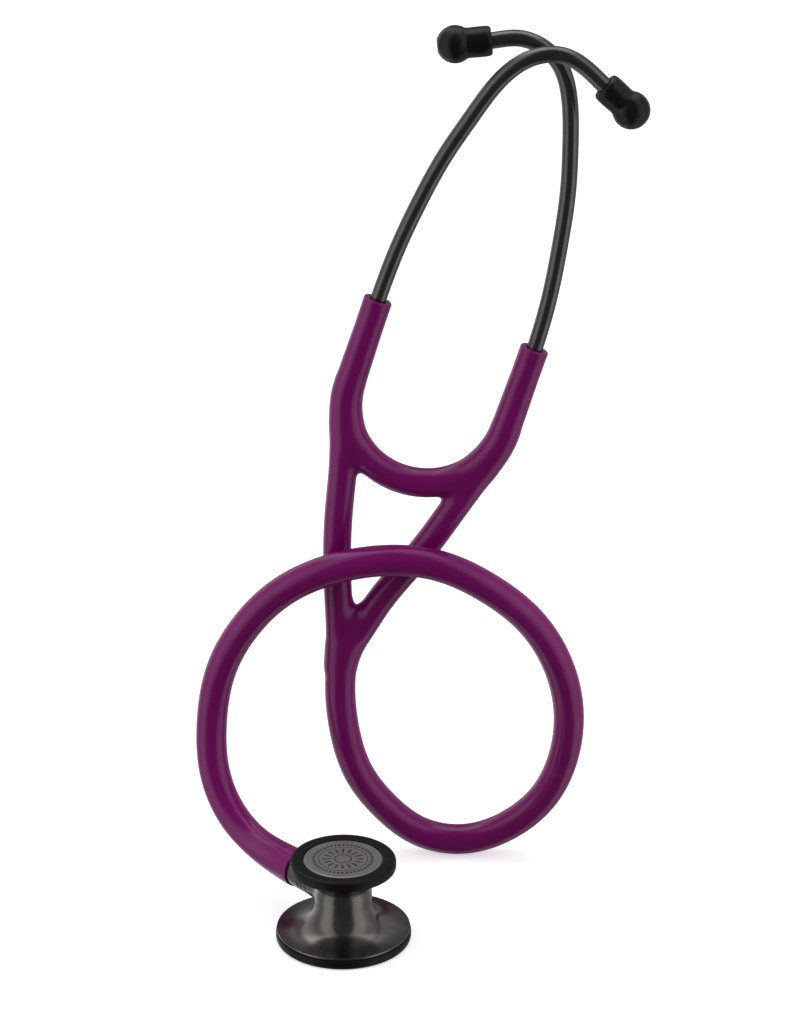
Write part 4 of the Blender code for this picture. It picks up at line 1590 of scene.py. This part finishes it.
@dataclass
class Studio:
    """A white floor under wide soft light, dark towards the front, and the camera."""

    camera_place: Vector = field(default_factory=lambda: Vector((-0.01922, -0.85437, 0.47429)))
    camera_down: float = math.radians(21.0)
    lens: float = 100.0
    sky_strength: float = 1.0
    front_dark: float = 0.205
    front_level: float = 0.09
    top_place: Vector = field(default_factory=lambda: Vector((0.0, 1.6, 6.1)))
    top_size: tuple[float, float] = (7.0, 5.1)
    top_power: float = 115.0
    side_place: tuple[float, float, float] = (1.3, -0.25, 0.4)
    side_size: tuple[float, float] = (1.2, 1.2)
    side_power: float = 9.5

    def build_floor(self) -> bpy.types.Object:
        """Lays a wide round floor.

        Returns:
            The floor.
        """
        bm = bmesh.new()
        bmesh.ops.create_circle(bm, cap_ends=True, segments=96, radius=30.0)
        floor = make_object("studio_floor", bm)
        floor.data.materials.append(PaleFloor().make())
        floor.visible_glossy = False
        floor.visible_diffuse = False
        floor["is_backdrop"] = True
        return floor

    def build_sky(self) -> None:
        """Makes a sky that is dark in front, bright beside it, and brighter behind on the left."""
        world = bpy.data.worlds.new("soft_room")
        bpy.context.scene.world = world
        world.use_nodes = True
        nodes, links = world.node_tree.nodes, world.node_tree.links
        lit = nodes["Background"]
        lit.inputs["Strength"].default_value = self.sky_strength
        coordinates = nodes.new("ShaderNodeTexCoord")
        parts = nodes.new("ShaderNodeSeparateXYZ")
        links.new(coordinates.outputs["Generated"], parts.inputs[0])
        angle = nodes.new("ShaderNodeMath")
        angle.operation = "ARCTAN2"
        flipped = nodes.new("ShaderNodeMath")
        flipped.operation = "MULTIPLY"
        flipped.inputs[1].default_value = -1.0
        links.new(parts.outputs[1], flipped.inputs[0])
        links.new(parts.outputs[0], angle.inputs[0])
        links.new(flipped.outputs[0], angle.inputs[1])
        scaled = nodes.new("ShaderNodeMath")
        scaled.operation = "MULTIPLY_ADD"
        scaled.inputs[1].default_value = 1.0 / math.tau
        scaled.inputs[2].default_value = 0.5
        links.new(angle.outputs[0], scaled.inputs[0])
        ramp = nodes.new("ShaderNodeValToRGB")
        rear_left = ((1.0, 0.16), (0.93, 0.24), (0.84, 1.0), (0.70, 0.60))
        left = (*rear_left, (0.58, 0.36), (0.50, 0.42), (0.42, 0.84))
        right = ((0.42, 0.84), (0.50, 0.42), (0.66, 0.30), (0.84, 0.42), (0.93, 0.24), (1.0, 0.16))
        shoulder = ((self.front_dark + 0.03, 0.68), (self.front_dark, self.front_level))
        turns = [(-turn, level) for turn, level in left + shoulder] + [*reversed(shoulder), *right]
        stops = [(0.5 + turn / 2, level) for turn, level in turns]
        ramp.color_ramp.elements.remove(ramp.color_ramp.elements[1])
        for index, (place, level) in enumerate(stops):
            stop = ramp.color_ramp.elements[0] if index == 0 else ramp.color_ramp.elements.new(place)
            stop.position = place
            stop.color = (level, level, level, 1.0)
        links.new(scaled.outputs[0], ramp.inputs["Fac"])
        links.new(ramp.outputs["Color"], lit.inputs["Color"])
        seen = nodes.new("ShaderNodeBackground")
        seen.inputs["Color"].default_value = (1.0, 1.0, 1.0, 1.0)
        choose = nodes.new("ShaderNodeMixShader")
        path = nodes.new("ShaderNodeLightPath")
        links.new(path.outputs["Is Camera Ray"], choose.inputs["Fac"])
        links.new(lit.outputs[0], choose.inputs[1])
        links.new(seen.outputs[0], choose.inputs[2])
        links.new(choose.outputs[0], nodes["World Output"].inputs["Surface"])

    def add_panel(
        self,
        name: str,
        place: Vector,
        size: tuple[float, float],
        power: float,
    ) -> bpy.types.Object:
        """Hangs one soft light panel that faces the object.

        Args:
            name: The light's name.
            place: Where it hangs.
            size: Its width and height.
            power: Its power.

        Returns:
            The light.
        """
        light = bpy.data.lights.new(name, "AREA")
        light.shape = "RECTANGLE"
        light.size, light.size_y = size
        light.energy = power
        panel = bpy.data.objects.new(name, light)
        panel.location = place
        aim = Vector((-0.01, 0.02, 0.1)) - place
        panel.rotation_euler = aim.to_track_quat("-Z", "Y").to_euler()
        panel.visible_camera = False
        bpy.context.scene.collection.objects.link(panel)
        return panel

    def build_camera(self) -> bpy.types.Object:
        """Sets up the camera at a slight look down.

        Returns:
            The camera.
        """
        camera = bpy.data.objects.new("camera", bpy.data.cameras.new("camera"))
        camera.data.lens = self.lens
        camera.data.sensor_width = 36.0
        camera.data.clip_start, camera.data.clip_end = 0.01, 100.0
        camera.location = self.camera_place
        camera.rotation_euler = (math.pi / 2 - self.camera_down, 0.0, 0.0)
        bpy.context.scene.collection.objects.link(camera)
        bpy.context.scene.camera = camera
        return camera

    def build(self) -> None:
        """Sets up the camera, the floor and the lights."""
        bpy.context.scene.view_settings.view_transform = "Standard"
        self.build_camera()
        self.build_floor()
        self.build_sky()
        self.add_panel("top_panel", self.top_place, self.top_size, self.top_power)
        across, back, height = self.side_place
        for side in Side:
            place = Vector((side.value * across, back, height))
            fill = self.add_panel(f"{side.word}_fill", place, self.side_size, self.side_power)
            fill.visible_glossy = False
        LOG.info("studio ready")


def write_sizes(cad_box: tuple[Vector, Vector]) -> None:
    """Gathers the CAD box and the dressed model's box as lists of corners.

    Args:
        cad_box: The lowest and highest corner before anything was added.
    """
    boxes = {"cad": cad_box, "visual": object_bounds()}
    boxes = {name: [list(corner) for corner in box] for name, box in boxes.items()}


def main() -> None:
    """Builds the studio, then each sub-assembly in order."""
    logging.basicConfig(level=logging.INFO, format="%(name)s: %(message)s")
    Studio().build()
    stance = Stance()
    chest = Chestpiece(stance)
    vinyl = MouldedVinyl()
    plum = vinyl.make()
    graphite = SatinMetal("graphite_metal", "graphite_metal", (0.145, 0.147, 0.150), 0.27).make()
    steel = TurnedSteel(stance.chest_axis).make()
    spring = SatinMetal("spring_steel", "spring_steel", (0.48, 0.48, 0.49), 0.3).make()
    insert = SatinMetal("bright_insert", "bright_insert", (0.55, 0.55, 0.56), 0.28).make()
    tip_rubber = SoftRubber("tip_rubber").make()
    rim_rubber = SoftRubber("rim_rubber", roughness=0.42, level=0.22).make()
    face_r = chest.small_rim_r - chest.small_lip_width - chest.gap
    printed = PrintedDisc(stance.chest_axis, face_r).make()
    plain = SatinMetal("plain_disc", "grey_disc", (0.28, 0.28, 0.285), 0.45, (1.0, 1.0, 1.0)).make()
    tube = MainTube(stance)
    tube.build(plum, vinyl.slot)
    Yoke(stance, tube).build(plum, vinyl.slot)
    for side in Side:
        EarArm(stance, side).build(graphite, tip_rubber)
    chest.build(steel, graphite, rim_rubber, printed, plain)
    InnerParts(spring, rim_rubber, insert).dress_all()
    write_sizes(CAD_BOX)


if __name__ == "__main__":
    main()
